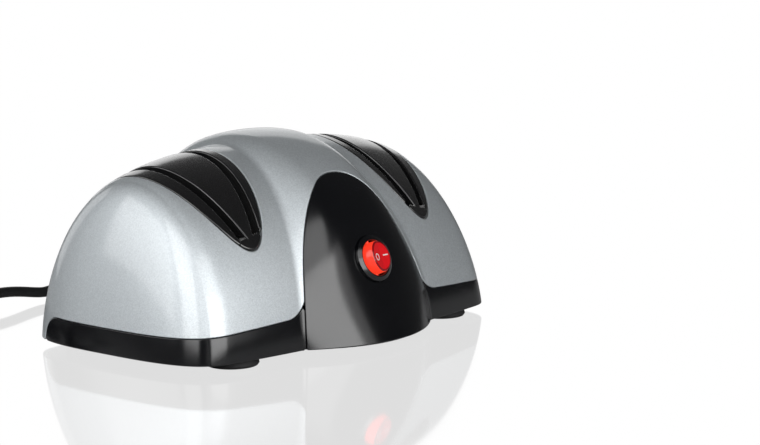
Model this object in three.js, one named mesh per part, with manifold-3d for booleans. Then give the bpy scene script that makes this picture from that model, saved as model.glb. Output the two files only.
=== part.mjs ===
// Electric knife sharpener: two grinding stations on one motor shaft, under a domed two-lobed housing.
// Millimetres, +Z up, +X along the housing, the switch panel faces -Y, the feet stand on z = 0.
import * as THREE from "three";
import { mergeVertices } from "three/addons/utils/BufferGeometryUtils.js";
import Module from "manifold-3d";

const wasm = await Module();
wasm.setup();

// Driving sizes of the housing
const footHeight = 4; // the underside of the base stands this far above the table
const wall = 2.6; // housing wall
const gap = 0.3; // clearance between two pieces that meet
const overrun = 1; // how far a cut runs past what it cuts
const halfTurn = Math.PI;
const quarterTurn = Math.PI / 2;

// Each lobe is an arched loaf: a superellipse in Y and Z, closed by a rounded end
const lobe = {
  halfLength: 111.5,
  capLength: 23.6,
  capPower: 3,
  endHalfDepth: 60,
  frontBow: 9, // how much deeper the middle is than the ends
  bowMargin: 11.5, // the bow and the rise run out this far before the end
  endHeight: 80,
  rise: 10.1, // how much the crest climbs towards the middle
  riseMargin: 15.7,
  risePower: 2.96,
  sectionPower: 1.9,
  endLean: 11.6, // how far the crest of an end stands back from its foot
};

// The dome between the lobes: a crest, two straight flanks and an arched section
const dome = {
  height: 95.5,
  crown: 2,
  crestHalfWidth: 23.7,
  flankFall: 1.1, // millimetres down for each millimetre out
  crestBlend: 8.8,
  halfDepth: 77.2,
  reach: 90.1, // where its depth would run out, sideways
  sectionPower: 2.14,
  footFlare: 7.5, // how much further out its foot stands, in front and at the back
  flareHalfSpan: 50,
  flareTurn: THREE.MathUtils.degToRad(28), // the flare has run out this far round the section
  flarePower: 1.8,
};
const creaseBlend = 1.5; // softens the valley between dome and lobe
const backLean = 5.2; // the crest stands this far behind the middle of the base

// The blade guides: elliptical saddles set into the lobes, two slanted slots in each
const guide = {
  fromEnd: 50.2, // centre to the end of the housing
  centreY: 2.7,
  halfWidth: 23.2,
  halfLength: 53.2,
  proud: 0.5,
  skin: 2.6,
  lipWidth: 3,
  lipThickness: 1.8,
  rimWall: 2.2,
};
const slot = {
  width: 3.9,
  angle: THREE.MathUtils.degToRad(17.5), // lean of the slot from upright, which sets the edge angle
  meetHeight: 44.4, // where the two slot planes of a guide would cross
  floorHeight: 58,
  halfLength: 49.2,
  channelWall: 1.5,
};

// The black switch panel on the front of the dome, and the base band around the front and the ends
const panel = { halfWidth: 45.7, height: 78, sidePower: 1.6, topPower: 2.2, backY: -10 };
const band = {
  height: 11.9, // at the ends
  climb: 6.3, // how much its top edge climbs towards the middle
  backY: 48,
  endRadius: 10,
  cornerRadius: 14,
  cornerInset: 4.5,
};
const floorThickness = 2.5;

// The drive: one shaft through motor and both wheels
const fit = 0.15; // clearance of pieces pressed together
const shaft = { centreY: 2.1, centreZ: 43, radius: 3, overhang: 10 };
const motor = {
  radius: 19,
  halfLength: 27,
  canWall: 1.6,
  bellThickness: 3,
  bearingRadius: 6,
  bearingWidth: 7,
  bearingSeat: 2.2,
  magnetThickness: 4,
  magnetHalfLength: 15,
  magnetSpan: THREE.MathUtils.degToRad(130),
  airGap: 0.8,
  armatureHalfLength: 11,
  armatureTeeth: 5,
  toothWidth: 3.2,
  shoeThickness: 1.8,
  slotOpening: 2,
  coreBoss: 2,
  windingOverhang: 3.5,
  commutatorRadius: 5.5,
  commutatorLength: 7,
  brushWidth: 4,
  brushHeight: 4,
  saddleInset: 8,
  saddleWidth: 6,
  strapThickness: 1.6,
  earLength: 8,
};
const wheel = {
  radius: 21,
  halfWidth: 8,
  rimHalfWidth: 5.4,
  bevelDepth: 6,
  hubRadius: 7.5,
  flangeRadius: 11,
  flangeThickness: 2,
  nutRadius: 5.5,
  nutWidth: 4,
  runningGap: 1.4,
};

// The round rocker switch
const rockerSwitch = {
  height: 37.9, // centre above the underside of the base
  flangeRadius: 11.5,
  flangeBevel: 1.1,
  flangeThickness: 2,
  bodyRadius: 9.9,
  bodyLength: 13,
  pocketRadius: 9.3,
  pocketDepth: 5.5,
  baseHalfWidth: 7,
  baseLength: 6,
  bossRadius: 12.6,
  terminalHalfWidth: 3.1,
  terminalThickness: 0.8,
  terminalLength: 8,
  terminalPitch: 9,
};
const rocker = {
  radius: 8.3,
  topRadius: 7.95,
  pivotDepth: 1, // below the seat of the flange
  height: 7.2, // above its pivot
  dish: 0.8,
  depth: 3.4, // below its pivot
  footRadius: 6.2,
  tilt: THREE.MathUtils.degToRad(11),
  pinRadius: 0.8,
  pinReach: 1.25,
};

// Feet, screws and electrics
const foot = { radius: 12.7, chamfer: 0.8, fromEnd: 35.1, y: 48.8, stemRadius: 3, stemBarb: 1.5 };
const screw = { headRadius: 3.1, headHeight: 2.2, shankRadius: 1.5, length: 14, pilotClearance: 0.2 };
const smallScrew = { headRadius: 2.6, headHeight: 1.8, shankRadius: 1.2, length: 8 };
const boss = { radius: 4.4, fromEnd: 19.5, y: 38, seatHeight: 6 };
const circuit = {
  halfLength: 21,
  halfDepth: 10,
  thickness: 1.6,
  clampClearance: 0.6, // between the board and the bar over the cord
  centreY: 46,
  standHeight: 7,
  standRadius: 3.4,
  standX: 16,
  capacitorRadius: 5,
  capacitorHeight: 14,
  capacitorX: -5.6,
  rectifierLength: 10.4,
  rectifierThickness: 3.6,
  rectifierHeight: 11,
  rectifierX: 5.8,
};

// Cord entry at the back, the free cord and its plug
const entry = {
  x: 0,
  height: 11,
  reliefLength: 32,
  reliefRadius: 4.6,
  reliefTipRadius: 3.6,
  collarRadius: 6.4,
  collarThickness: 2,
  clampHalfSpan: 9,
  clampInset: 12,
  clampDepth: 7,
  clampThickness: 3,
  tailLength: 20,
};
const cord = { radius: 2.75 };
const lead = { radius: 1.1 };
const coil = {
  x: -121.7,
  fromRelief: 23.86, // centre behind the end of the strain relief
  outerRadius: 38.4,
  turnGap: 0.6,
  turnsPerLayer: 2.6875,
  climbTurns: 0.5,
  stepsPerTurn: 24,
  startAngle: THREE.MathUtils.degToRad(45),
  lift: 3.85, // height of the lower layer's centreline, on the tie
  tailLength: 28,
  tieAngle: THREE.MathUtils.degToRad(300),
  tieWidth: 6,
  tieThickness: 0.8,
  tieCorner: 2,
};
const plug = {
  length: 34,
  width: 26,
  thickness: 13.6,
  sleeveLength: 8,
  sleeveRadius: 4.4,
  tipRadius: 3.4,
  pinRadius: 2,
  pinLength: 19,
  pinPitch: 18.6,
};
const plugAxisHeight = plug.thickness / 2;
const guideX = lobe.halfLength - guide.fromEnd;
const boardX = entry.x - entry.clampHalfSpan - circuit.standRadius - circuit.clampClearance - circuit.halfLength;

// Where the free cord lies between the strain relief and the coil: sideways, behind the relief's end, and height
const cordRoute = [
  [0, 0.16, 15],
  [0, 3.16, 15],
  [-0.9, 9.66, 14.4],
  [-3.4, 15.66, 12.8],
  [-7.3, 20.86, 10.3],
  [-12.5, 24.86, 7.7],
  [-18.5, 27.36, 5.6],
  [-25, 28.16, 4.6],
  [-31, 28.86, 5.2],
  [-37.4, 29.66, 6.3],
  [-44.4, 29.66, 7.4],
  [-51.3, 29.46, 8.1],
  [-58.6, 28.96, 8.4],
  [-66, 29.26, 8.2],
  [-73.5, 31.96, 7.3],
  [-80.6, 37.36, 5.7],
  [-86, 42.56, 4.3],
  [-90.4, 46.96, 3.85],
];

// Where the leads inside the housing run: off the cord's tail, past the motor, off the board, to the terminals
const leadRoutes = {
  lead_supply: {
    tail: [[1.3, -0.3, 0], [1.3, -2.5, -0.1], [5, -5.5, -2], [18, -10.5, -6]],
    aside: [[28, 32, 8], [31, 0, 8], [29, -24, 9]],
    terminals: [[20, 3.4, -17.6], [8, 5.4, -5.6], [4.5, 3.4, -1], [4.5, 0.5, 0.1]],
  },
  lead_switch: {
    board: [[5.5, -6, 0.4], [5.4, -6.8, 3.4], [5, -9.4, 3.8], [4, -13, -1.2], [2, -20, -6.2]],
    aside: [[-31, 0, 8], [-29, -24, 9]],
    terminals: [[-20, 3.4, -17.6], [-8, 5.4, -5.6], [-4.5, 3.4, -1], [-4.5, 0.5, 0.1]],
  },
};

// How finely curves are divided
const archSteps = 22;
const capSteps = 6;
const coarseArchSteps = 14;
const coarseCapSteps = 4;
const panelSteps = 12;
const guideSteps = 16;
const bandSteps = 6;
const bisections = 30;
const hexSides = 6;
const shoeShares = [-1, -0.33, 0.33, 1];
const cordSides = 4;
const leadSides = 3;
const leadSteps = 22;
const cordSteps = 26;
const coilSides = 6;
const tailShares = [0.25, 0.5, 0.8, 1];
const tailDropShares = [0.3, 0.8];
const plugShares = [[0, 0.45, 0.6], [0.2, 0.8, 0.95], [0.5, 0.92, 1], [1, 1, 1]];
const plugCornerPower = 0.5;
const discSides = 28;
const smallSides = 10;
const stationShares = [0, 0.12, 0.24, 0.31, 0.36, 0.4, 0.44, 0.48, 0.52, 0.57, 0.65, 0.76, 0.88, 1];

const finish = {
  silver: { color: 0xb6bfc6, roughness: 0.38, metalness: 0.65 },
  blackPlastic: { color: 0x15171c, roughness: 0.38, metalness: 0 },
  guidePlastic: { color: 0x121316, roughness: 0.45, metalness: 0 },
  redPlastic: { color: 0xdf1b16, roughness: 0.25, metalness: 0 },
  rubber: { color: 0x101112, roughness: 0.85, metalness: 0 },
  steel: { color: 0xa9adb0, roughness: 0.35, metalness: 1 },
  zincPlate: { color: 0xb9bcb6, roughness: 0.42, metalness: 1 },
  core: { color: 0x4a4d50, roughness: 0.6, metalness: 1 },
  copper: { color: 0xb5653a, roughness: 0.4, metalness: 1 },
  brass: { color: 0xc9a558, roughness: 0.35, metalness: 1 },
  ferrite: { color: 0x2b2b2d, roughness: 0.8, metalness: 0 },
  carbon: { color: 0x1c1c1e, roughness: 0.7, metalness: 0 },
  coarseGrit: { color: 0x8a5a48, roughness: 0.95, metalness: 0 },
  fineGrit: { color: 0xd8d2c8, roughness: 0.9, metalness: 0 },
  hubPlastic: { color: 0xd9d6cc, roughness: 0.5, metalness: 0 },
  board: { color: 0x2f6b3e, roughness: 0.55, metalness: 0 },
  capacitor: { color: 0x23324f, roughness: 0.4, metalness: 0 },
  cord: { color: 0x141416, roughness: 0.55, metalness: 0 },
};

// Geometry to solid and back

function toSolid(geometry) {
  const bare = geometry.index ? geometry.toNonIndexed() : geometry.clone();
  bare.deleteAttribute("normal");
  bare.deleteAttribute("uv");
  const merged = mergeVertices(bare);
  const triVerts = new Uint32Array(merged.index.array);
  return new wasm.Manifold(
    new wasm.Mesh({ numProp: 3, vertProperties: merged.attributes.position.array, triVerts }),
  );
}

function toGeometry(solid) {
  const { vertProperties, triVerts, numProp } = solid.getMesh();
  const positions = new Float32Array(triVerts.length * 3);
  triVerts.forEach((vertex, corner) => {
    const start = vertex * numProp;
    positions.set(vertProperties.subarray(start, start + 3), corner * 3);
  });
  const geometry = new THREE.BufferGeometry();
  geometry.setAttribute("position", new THREE.BufferAttribute(positions, 3));
  geometry.computeVertexNormals();
  return geometry;
}

const join = (first, ...others) => others.reduce((sum, next) => sum.add(next), first);
const cut = (first, ...others) => others.reduce((left, next) => left.subtract(next), first);
const common = (first, ...others) => others.reduce((left, next) => left.intersect(next), first);

// A skin over closed rings of points, in order; a ring whose points all meet closes that end by itself
function loft(rings) {
  const vertices = [];
  const pushTriangle = (a, b, c) => {
    if (a.equals(b) || b.equals(c) || c.equals(a)) return;
    vertices.push(...a.toArray(), ...b.toArray(), ...c.toArray());
  };
  const closeEnd = (ring, forwards) => {
    const centre = new THREE.Vector3();
    ring.forEach((point) => centre.addScaledVector(point, 1 / ring.length));
    ring.forEach((point, i) => {
      const next = ring[(i + 1) % ring.length];
      if (forwards) pushTriangle(centre, point, next);
      else pushTriangle(centre, next, point);
    });
  };
  rings.slice(1).forEach((ring, i) => {
    const last = rings[i];
    ring.forEach((point, j) => {
      const k = (j + 1) % ring.length;
      pushTriangle(last[j], last[k], ring[k]);
      pushTriangle(last[j], ring[k], point);
    });
  });
  const isPoint = (ring) => ring.every((point) => point.equals(ring[0]));
  if (!isPoint(rings[0])) closeEnd(rings[0], false);
  if (!isPoint(rings.at(-1))) closeEnd(rings.at(-1), true);
  const geometry = new THREE.BufferGeometry();
  geometry.setAttribute("position", new THREE.BufferAttribute(new Float32Array(vertices), 3));
  return toSolid(geometry);
}

function box(low, high) {
  const size = new THREE.Vector3().subVectors(high, low);
  const centre = new THREE.Vector3().addVectors(low, high).divideScalar(2);
  const geometry = new THREE.BoxGeometry(size.x, size.y, size.z);
  return toSolid(geometry.translate(centre.x, centre.y, centre.z));
}

const point = (x, y, z) => new THREE.Vector3(x, y, z);
const origin = point(0, 0, 0);

// Matrices that turn the Y axis of a lathe, or the Z axis of an extrusion, to another axis
const latheTurns = {
  x: new THREE.Matrix4().makeRotationZ(-quarterTurn),
  y: new THREE.Matrix4(),
  z: new THREE.Matrix4().makeRotationX(quarterTurn),
};

// A round body about an axis through a point: its profile is a list of [radius, along], anticlockwise
function turned(profile, axis, at = origin, sides = smallSides) {
  const closed = [...profile, profile[0]].map(([radius, along]) => new THREE.Vector2(radius, along));
  const geometry = new THREE.LatheGeometry(closed, sides);
  geometry.applyMatrix4(latheTurns[axis]);
  return toSolid(geometry.translate(at.x, at.y, at.z));
}

const rod = (radius, from, to, axis, at = origin, sides = smallSides) =>
  turned([[0, from], [radius, from], [radius, to], [0, to]], axis, at, sides);

const pipe = (outer, inner, from, to, axis, at = origin, sides = smallSides) =>
  turned([[inner, from], [outer, from], [outer, to], [inner, to]], axis, at, sides);

// A flat outline pushed along Z, or stood up in X and Z and pushed along Y
function pushedUp(shape, from, to, curveSegments = smallSides) {
  const geometry = new THREE.ExtrudeGeometry(shape, { depth: to - from, bevelEnabled: false, curveSegments });
  return toSolid(geometry.translate(0, 0, from));
}

function pushedBack(shape, from, to, curveSegments = smallSides) {
  const geometry = new THREE.ExtrudeGeometry(shape, { depth: to - from, bevelEnabled: false, curveSegments });
  geometry.rotateX(quarterTurn);
  return toSolid(geometry.translate(0, to, 0));
}

// The housing surface

function softMin(a, b, blend) {
  const share = THREE.MathUtils.clamp(0.5 + (b - a) / (2 * blend), 0, 1);
  return b + (a - b) * share - blend * share * (1 - share);
}

const softMax = (a, b, blend) => -softMin(-a, -b, blend);

const archRadius = (across, up, depth, height, power) =>
  ((across / depth) ** power + (up / height) ** power) ** (-1 / power);

function lobeRadius(out, across, up, inset) {
  const bow = 1 - Math.min(out / (lobe.halfLength - lobe.bowMargin), 1) ** 2;
  const climb = 1 - Math.min(out / (lobe.halfLength - lobe.riseMargin), 1) ** lobe.risePower;
  const depth = lobe.endHalfDepth + lobe.frontBow * bow - inset;
  const height = lobe.endHeight + lobe.rise * climb - inset;
  return archRadius(across, up, depth, height, lobe.sectionPower);
}

function domeRadius(out, across, up, inset) {
  const narrowing = 1 - (out / dome.reach) ** 2;
  const sideInset = (inset * (Math.hypot(1, dome.flankFall) - 1)) / dome.flankFall;
  const top = dome.height - inset;
  const crest = top - dome.crown * (out / dome.crestHalfWidth) ** 2;
  const flank = top - dome.crown - dome.flankFall * (out - dome.crestHalfWidth + sideInset);
  const height = softMin(crest, flank, dome.crestBlend);
  if (narrowing <= 0 || height <= 0) return 0;
  const depth = (dome.halfDepth - inset) * Math.sqrt(narrowing);
  return archRadius(across, up, depth, height, dome.sectionPower);
}

// The foot of the dome stands out, in a straight slope up to the switch, and the same at the back
function flare(out, turn) {
  const span = Math.max(1 - (out / dome.flareHalfSpan) ** 2, 0);
  const fromFoot = Math.min(turn, halfTurn - turn);
  const fall = Math.max(1 - fromFoot / dome.flareTurn, 0);
  return dome.footFlare * span * fall ** dome.flarePower;
}

// A point of the surface, or of one set in by a wall: x along the housing, turn from front foot to back foot
function housingPoint({ x, endShare }, turn, inset) {
  const out = Math.abs(x);
  const across = Math.abs(Math.cos(turn));
  const up = Math.abs(Math.sin(turn));
  const lobeReach = endShare * lobeRadius(out, across, up, inset);
  const domeReach = out < lobe.halfLength - lobe.capLength ? domeRadius(out, across, up, inset) : 0;
  const flared = domeReach + flare(out, turn);
  const radius = domeReach > 0 ? softMax(lobeReach, flared, creaseBlend) : lobeReach;
  const z = radius * up;
  const lean = lobe.endLean * (z / lobe.endHeight) * (out / lobe.halfLength) ** 2;
  const y = backLean * (z / dome.height) - radius * Math.cos(turn);
  return point(Math.sign(x) * (out - lean), y, z + footHeight);
}

// Places along X, from one end to the other, with the share of the full section left at each
function stations(inset, coarse) {
  const capStart = lobe.halfLength - lobe.capLength;
  const kept = stationShares.filter((_, i) => !coarse || i % 3 === 0);
  const right = kept.map((share) => ({ x: share * capStart, endShare: 1 }));
  const steps = coarse ? coarseCapSteps : capSteps;
  for (let i = 1; i <= steps; i++) {
    const turn = (quarterTurn * i) / steps;
    const along = Math.sin(turn) ** (2 / lobe.capPower);
    const endShare = i < steps ? Math.cos(turn) ** (2 / lobe.capPower) : 0;
    right.push({ x: capStart + (lobe.capLength - inset) * along, endShare });
  }
  const mirrored = right.slice(1).map(({ x, endShare }) => ({ x: -x, endShare }));
  return [...mirrored.reverse(), ...right];
}

// The whole housing as one solid, set in by a wall; a skirt carries it below the base
function housingSolid(inset = 0, skirt = 0, coarse = false) {
  const steps = coarse ? coarseArchSteps : archSteps;
  const rings = stations(inset, coarse).map((station) => {
    const ring = [];
    for (let i = steps; i >= 0; i--) ring.push(housingPoint(station, (halfTurn * i) / steps, inset));
    const low = footHeight - skirt;
    if (skirt > 0) ring.push(ring.at(-1).clone().setZ(low), ring[0].clone().setZ(low));
    if (station.endShare === 0) ring.forEach((corner) => corner.setZ(low));
    return ring;
  });
  return loft(rings);
}

// Outlines that part the housing into shell, panel, band and guides

const farFront = -(dome.halfDepth + dome.footFlare + lobe.frontBow);

function guidePrism(side, grow, from = slot.meetHeight - grow) {
  const outline = new THREE.Shape();
  outline.absellipse(side * guideX, guide.centreY, guide.halfWidth + grow, guide.halfLength + grow);
  return pushedUp(outline, from, dome.height + footHeight + overrun, guideSteps);
}

function panelPrism(grow) {
  const right = [];
  for (let i = 0; i <= panelSteps; i++) {
    const turn = (quarterTurn * i) / panelSteps;
    const z = panel.height * Math.sin(turn) ** (2 / panel.sidePower);
    const x = panel.halfWidth * Math.cos(turn) ** (2 / panel.topPower);
    const outward = new THREE.Vector2(Math.cos(turn), Math.sin(turn)).multiplyScalar(grow);
    right.push(new THREE.Vector2(i < panelSteps ? x + outward.x : 0, footHeight + z + outward.y));
  }
  const left = right.slice(0, -1).map(({ x, y }) => new THREE.Vector2(-x, y));
  const foot = [right[0], left[0]].map(({ x }) => new THREE.Vector2(x, footHeight - overrun));
  const outline = new THREE.Shape([foot[1], foot[0], ...right, ...left.reverse()]);
  return pushedBack(outline, farFront, panel.backY + grow);
}

const bandTop = (x) => footHeight + band.height + band.climb * (1 - Math.abs(x) / lobe.halfLength);

// The band's side at a place along X: round at its upper back corner
function bandSide(x, grow) {
  const back = band.backY + grow;
  const top = bandTop(x) + grow;
  const low = footHeight - overrun;
  const radius = band.endRadius + grow;
  const ring = [point(x, back, low)];
  for (let i = 0; i <= bandSteps; i++) {
    const turn = (quarterTurn * i) / bandSteps;
    ring.push(point(x, back - radius * (1 - Math.cos(turn)), top - radius * (1 - Math.sin(turn))));
  }
  return [...ring, point(x, farFront, top), point(x, farFront, low)];
}

// Everything below the band's top edge, which rises in an arc on each side of the panel
function bandPrism(grow) {
  const reach = lobe.halfLength + overrun;
  const around = loft([-reach, 0, reach].map((x) => bandSide(x, grow)));
  const low = footHeight - overrun;
  const run = panel.halfWidth - band.cornerInset;
  const top = bandTop(run + band.cornerRadius) + grow;
  const radius = band.cornerRadius - grow;
  const rise = new THREE.Shape();
  rise.moveTo(-run - band.cornerRadius, low);
  rise.lineTo(run + band.cornerRadius, low);
  rise.lineTo(run + band.cornerRadius, top);
  rise.absarc(run + band.cornerRadius, top + radius, radius, -quarterTurn, -halfTurn, true);
  rise.lineTo(-run - grow, top + radius);
  rise.absarc(-run - band.cornerRadius, top + radius, radius, 0, -quarterTurn, true);
  return join(around, pushedBack(rise, farFront, panel.backY, bandSteps));
}

// The scene graph

const group = new THREE.Group();

function addPiece(parent, name, solid, look) {
  const mesh = new THREE.Mesh(toGeometry(solid), new THREE.MeshStandardMaterial({ ...look, flatShading: true }));
  mesh.name = name;
  parent.add(mesh);
  return mesh;
}

function addGroup(parent, position) {
  const inner = new THREE.Group();
  inner.position.copy(position);
  parent.add(inner);
  return inner;
}

const sides = [
  { name: "left", sign: -1 },
  { name: "right", sign: 1 },
];
const half = gap / 2;
const floorTop = footHeight + floorThickness;
const housing = housingSolid();
const cavity = housingSolid(wall, overrun, true);
const skin = cut(housing, cavity);

// The point of the housing wall at a height above the base, in front (side -1) or at the back (side 1)
function wallPoint(x, height, side) {
  const at = (turn) => housingPoint({ x, endShare: 1 }, side < 0 ? turn : halfTurn - turn, 0);
  let low = 0;
  let high = quarterTurn;
  for (let i = 0; i < bisections; i++) {
    const middle = (low + high) / 2;
    if (at(middle).z - footHeight < height) low = middle;
    else high = middle;
  }
  return at(low);
}

// The switch stands square to the panel, on a flat round boss
const panelAbove = wallPoint(0, rockerSwitch.height + rockerSwitch.bodyRadius, -1);
const panelBelow = wallPoint(0, rockerSwitch.height - rockerSwitch.bodyRadius, -1);
const upPanel = new THREE.Vector3().subVectors(panelAbove, panelBelow).normalize();
const outOfPanel = new THREE.Vector3().crossVectors(point(1, 0, 0), upPanel);
const switchMatrix = new THREE.Matrix4()
  .makeBasis(point(1, 0, 0), upPanel, outOfPanel)
  .setPosition(wallPoint(0, rockerSwitch.height, -1));
const onPanel = (solid) => solid.transform(switchMatrix.elements);

const corners = [
  { name: "front_left", x: -1, y: -1 },
  { name: "front_right", x: 1, y: -1 },
  { name: "rear_left", x: -1, y: 1 },
  { name: "rear_right", x: 1, y: 1 },
];
const screwPlaces = corners.map(({ name, x, y }) => ({ name, at: point(x * (lobe.halfLength - boss.fromEnd), y * boss.y, 0) }));
const footPlaces = corners.map(({ name, x, y }) => ({ name, at: point(x * (lobe.halfLength - foot.fromEnd), y * foot.y, 0) }));
const entryPoint = wallPoint(entry.x, entry.height, 1);
const pilotRadius = screw.shankRadius + screw.pilotClearance;

// Upper shell with its four screw columns

function makeShell() {
  const openings = sides.map(({ sign }) => guidePrism(sign, half));
  const shell = cut(skin, bandPrism(half), panelPrism(half), ...openings);
  const columnFoot = footHeight + boss.seatHeight + gap;
  const inside = housingSolid(wall / 2, 0, true);
  const columns = screwPlaces.map(({ at }) => rod(boss.radius, columnFoot, dome.height, "z", at));
  const seated = columns.map((column) => common(column, inside));
  const pilotTop = footHeight + screw.length + overrun;
  const pilots = screwPlaces.map(({ at }) => rod(pilotRadius, footHeight, pilotTop, "z", at));
  const cordWay = rod(entry.reliefRadius + half, -2 * wall, 2 * wall, "y", entryPoint, discSides);
  const collarSeat = rod(entry.collarRadius + half, -2 * wall, -wall, "y", entryPoint, discSides);
  return cut(join(shell, ...seated), ...pilots, cordWay, collarSeat);
}

// Front panel with the flat boss and the hole for the switch

function makePanel() {
  const face = common(skin, panelPrism(-half));
  const pad = onPanel(rod(rockerSwitch.bossRadius, -wall, 0, "z", origin, discSides));
  const hole = onPanel(rod(rockerSwitch.bodyRadius + half, -2 * wall, wall, "z", origin, discSides));
  return cut(join(face, pad), hole);
}

// Base tray: floor, band, saddles for the motor, posts for the screws, the board and the cord clamp

const saddleX = motor.halfLength - motor.saddleInset;
const strapHalfSpan = motor.radius + gap + motor.strapThickness + motor.earLength;
const earScrewY = motor.radius + gap + motor.strapThickness + motor.earLength / 2;

function makeSaddle(sign) {
  const low = point(sign * saddleX - motor.saddleWidth / 2, shaft.centreY - strapHalfSpan, footHeight);
  const high = point(sign * saddleX + motor.saddleWidth / 2, shaft.centreY + strapHalfSpan, shaft.centreZ - half);
  const block = box(low, high);
  const seat = rod(motor.radius + gap, -2 * motor.halfLength, 2 * motor.halfLength, "x", shaftCentre, discSides);
  const pilots = [-1, 1].map((side) => earPilot(sign, side));
  return cut(block, seat, ...pilots);
}

function earPilot(sign, side) {
  const at = point(sign * saddleX, shaft.centreY + side * earScrewY, shaft.centreZ);
  return rod(smallScrew.shankRadius + screw.pilotClearance, -smallScrew.length - overrun, overrun, "z", at);
}

const standPlaces = [-1, 1].map((sign) => point(boardX + sign * circuit.standX, circuit.centreY, floorTop));
const clampY = entryPoint.y - wall - entry.clampInset;
const clampPlaces = [-1, 1].map((sign) => point(entry.x + sign * entry.clampHalfSpan, clampY, floorTop));
const clampSeatHeight = entry.height + footHeight - floorTop - half;

function makePost(at, radius, height) {
  const post = rod(radius, -floorThickness / 2, height, "z", at);
  const pilot = rod(smallScrew.shankRadius + screw.pilotClearance, 0, height + overrun, "z", at);
  return cut(post, pilot);
}

function makeBase() {
  const edge = cut(common(housing, bandPrism(-half)), panelPrism(half));
  const outline = join(housingSolid(wall + gap, 0, true), edge);
  const reach = point(lobe.halfLength + overrun, -farFront, 0);
  const slab = box(point(-reach.x, -reach.y, footHeight), point(reach.x, reach.y, floorTop));
  const bandWall = cut(common(skin, bandPrism(-half)), panelPrism(half));
  const screwPosts = screwPlaces.map(({ at }) =>
    rod(boss.radius, footHeight, footHeight + boss.seatHeight, "z", at),
  );
  const stands = standPlaces.map((at) => makePost(at, circuit.standRadius, circuit.standHeight));
  const clampPosts = clampPlaces.map((at) => makePost(at, circuit.standRadius, clampSeatHeight));
  const saddles = sides.map(({ sign }) => makeSaddle(sign));
  const headWays = screwPlaces.map(({ at }) =>
    rod(screw.headRadius + gap, footHeight - overrun, footHeight + screw.headHeight + gap, "z", at),
  );
  const shankWays = screwPlaces.map(({ at }) => rod(pilotRadius, 0, dome.height, "z", at));
  const stemWays = footPlaces.map(({ at }) => rod(foot.stemRadius + half, 0, floorTop + overrun, "z", at));
  const tray = join(common(slab, outline), bandWall, ...screwPosts, ...stands, ...clampPosts, ...saddles);
  return cut(tray, ...headWays, ...shankWays, ...stemWays);
}

function makeFoot() {
  const seat = footHeight - half;
  const stemTop = floorTop + foot.stemBarb;
  return turned(
    [
      [0, 0],
      [foot.radius - foot.chamfer, 0],
      [foot.radius, foot.chamfer],
      [foot.radius - foot.chamfer, seat],
      [foot.stemRadius, seat],
      [foot.stemRadius, stemTop],
      [0, stemTop],
    ],
    "z",
    origin,
    discSides,
  );
}

// A screw whose head starts at zero and whose shank runs up from it
function makeScrew({ headRadius, headHeight, shankRadius, length }) {
  return turned(
    [
      [0, 0],
      [headRadius, 0],
      [headRadius, headHeight],
      [shankRadius, headHeight],
      [shankRadius, length],
      [0, length],
    ],
    "z",
  );
}

// Blade guide: a saddle over the lobe, with a lip under the shell and two slanted channels to the wheel

function slantedSlab(side, lean, grow, bottom) {
  const top = dome.height + footHeight + overrun;
  const halfWidth = slot.width / 2 + grow;
  const middleAt = (z) => side * guideX + lean * Math.tan(slot.angle) * (z - slot.meetHeight);
  const outline = new THREE.Shape([
    new THREE.Vector2(middleAt(bottom) - halfWidth, bottom),
    new THREE.Vector2(middleAt(bottom) + halfWidth, bottom),
    new THREE.Vector2(middleAt(top) + halfWidth, top),
    new THREE.Vector2(middleAt(top) - halfWidth, top),
  ]);
  const reach = slot.halfLength + grow;
  return pushedBack(outline, guide.centreY - reach, guide.centreY + reach);
}

function makeGuide(side) {
  const prism = guidePrism(side, -half);
  const core = guidePrism(side, -half - guide.rimWall);
  const lipPrism = guidePrism(side, guide.lipWidth);
  const outer = housingSolid(-guide.proud);
  const lipTop = housingSolid(wall + gap, 0, true);
  const lipBottom = housingSolid(wall + gap + guide.lipThickness, overrun, true);
  const saddle = common(cut(outer, housingSolid(guide.skin, overrun, true)), prism);
  const rim = cut(common(cut(outer, lipBottom), prism), core);
  const lip = cut(common(cut(lipTop, lipBottom), lipPrism), core);
  const leans = [-1, 1];
  const below = common(housingSolid(guide.skin / 2, 0, true), prism);
  const channelFloor = slot.floorHeight - slot.channelWall;
  const channels = leans.map((lean) => common(slantedSlab(side, lean, slot.channelWall, channelFloor), below));
  const ways = leans.map((lean) => slantedSlab(side, lean, 0, slot.floorHeight));
  const wheelRoom = rod(
    wheel.radius + wheel.runningGap,
    -wheel.halfWidth - wheel.runningGap,
    wheel.halfWidth + wheel.runningGap,
    "x",
    point(side * guideX, shaft.centreY, shaft.centreZ),
    discSides,
  );
  return cut(join(saddle, rim, lip, ...channels), ...ways, wheelRoom);
}

// The rotor, about the shaft's own axis: shaft, armature, commutator, and a hub, wheel and nut at each end

const shaftCentre = point(0, shaft.centreY, shaft.centreZ);
const stationX = guideX;
const bore = shaft.radius + fit;
const armatureRadius = motor.radius - motor.canWall - motor.magnetThickness - motor.airGap;

function makeShaft() {
  const reach = stationX + wheel.halfWidth + shaft.overhang;
  const chamfer = shaft.radius / 3;
  return turned(
    [
      [0, -reach],
      [shaft.radius - chamfer, -reach],
      [shaft.radius, chamfer - reach],
      [shaft.radius, reach - chamfer],
      [shaft.radius - chamfer, reach],
      [0, reach],
    ],
    "x",
  );
}

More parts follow.
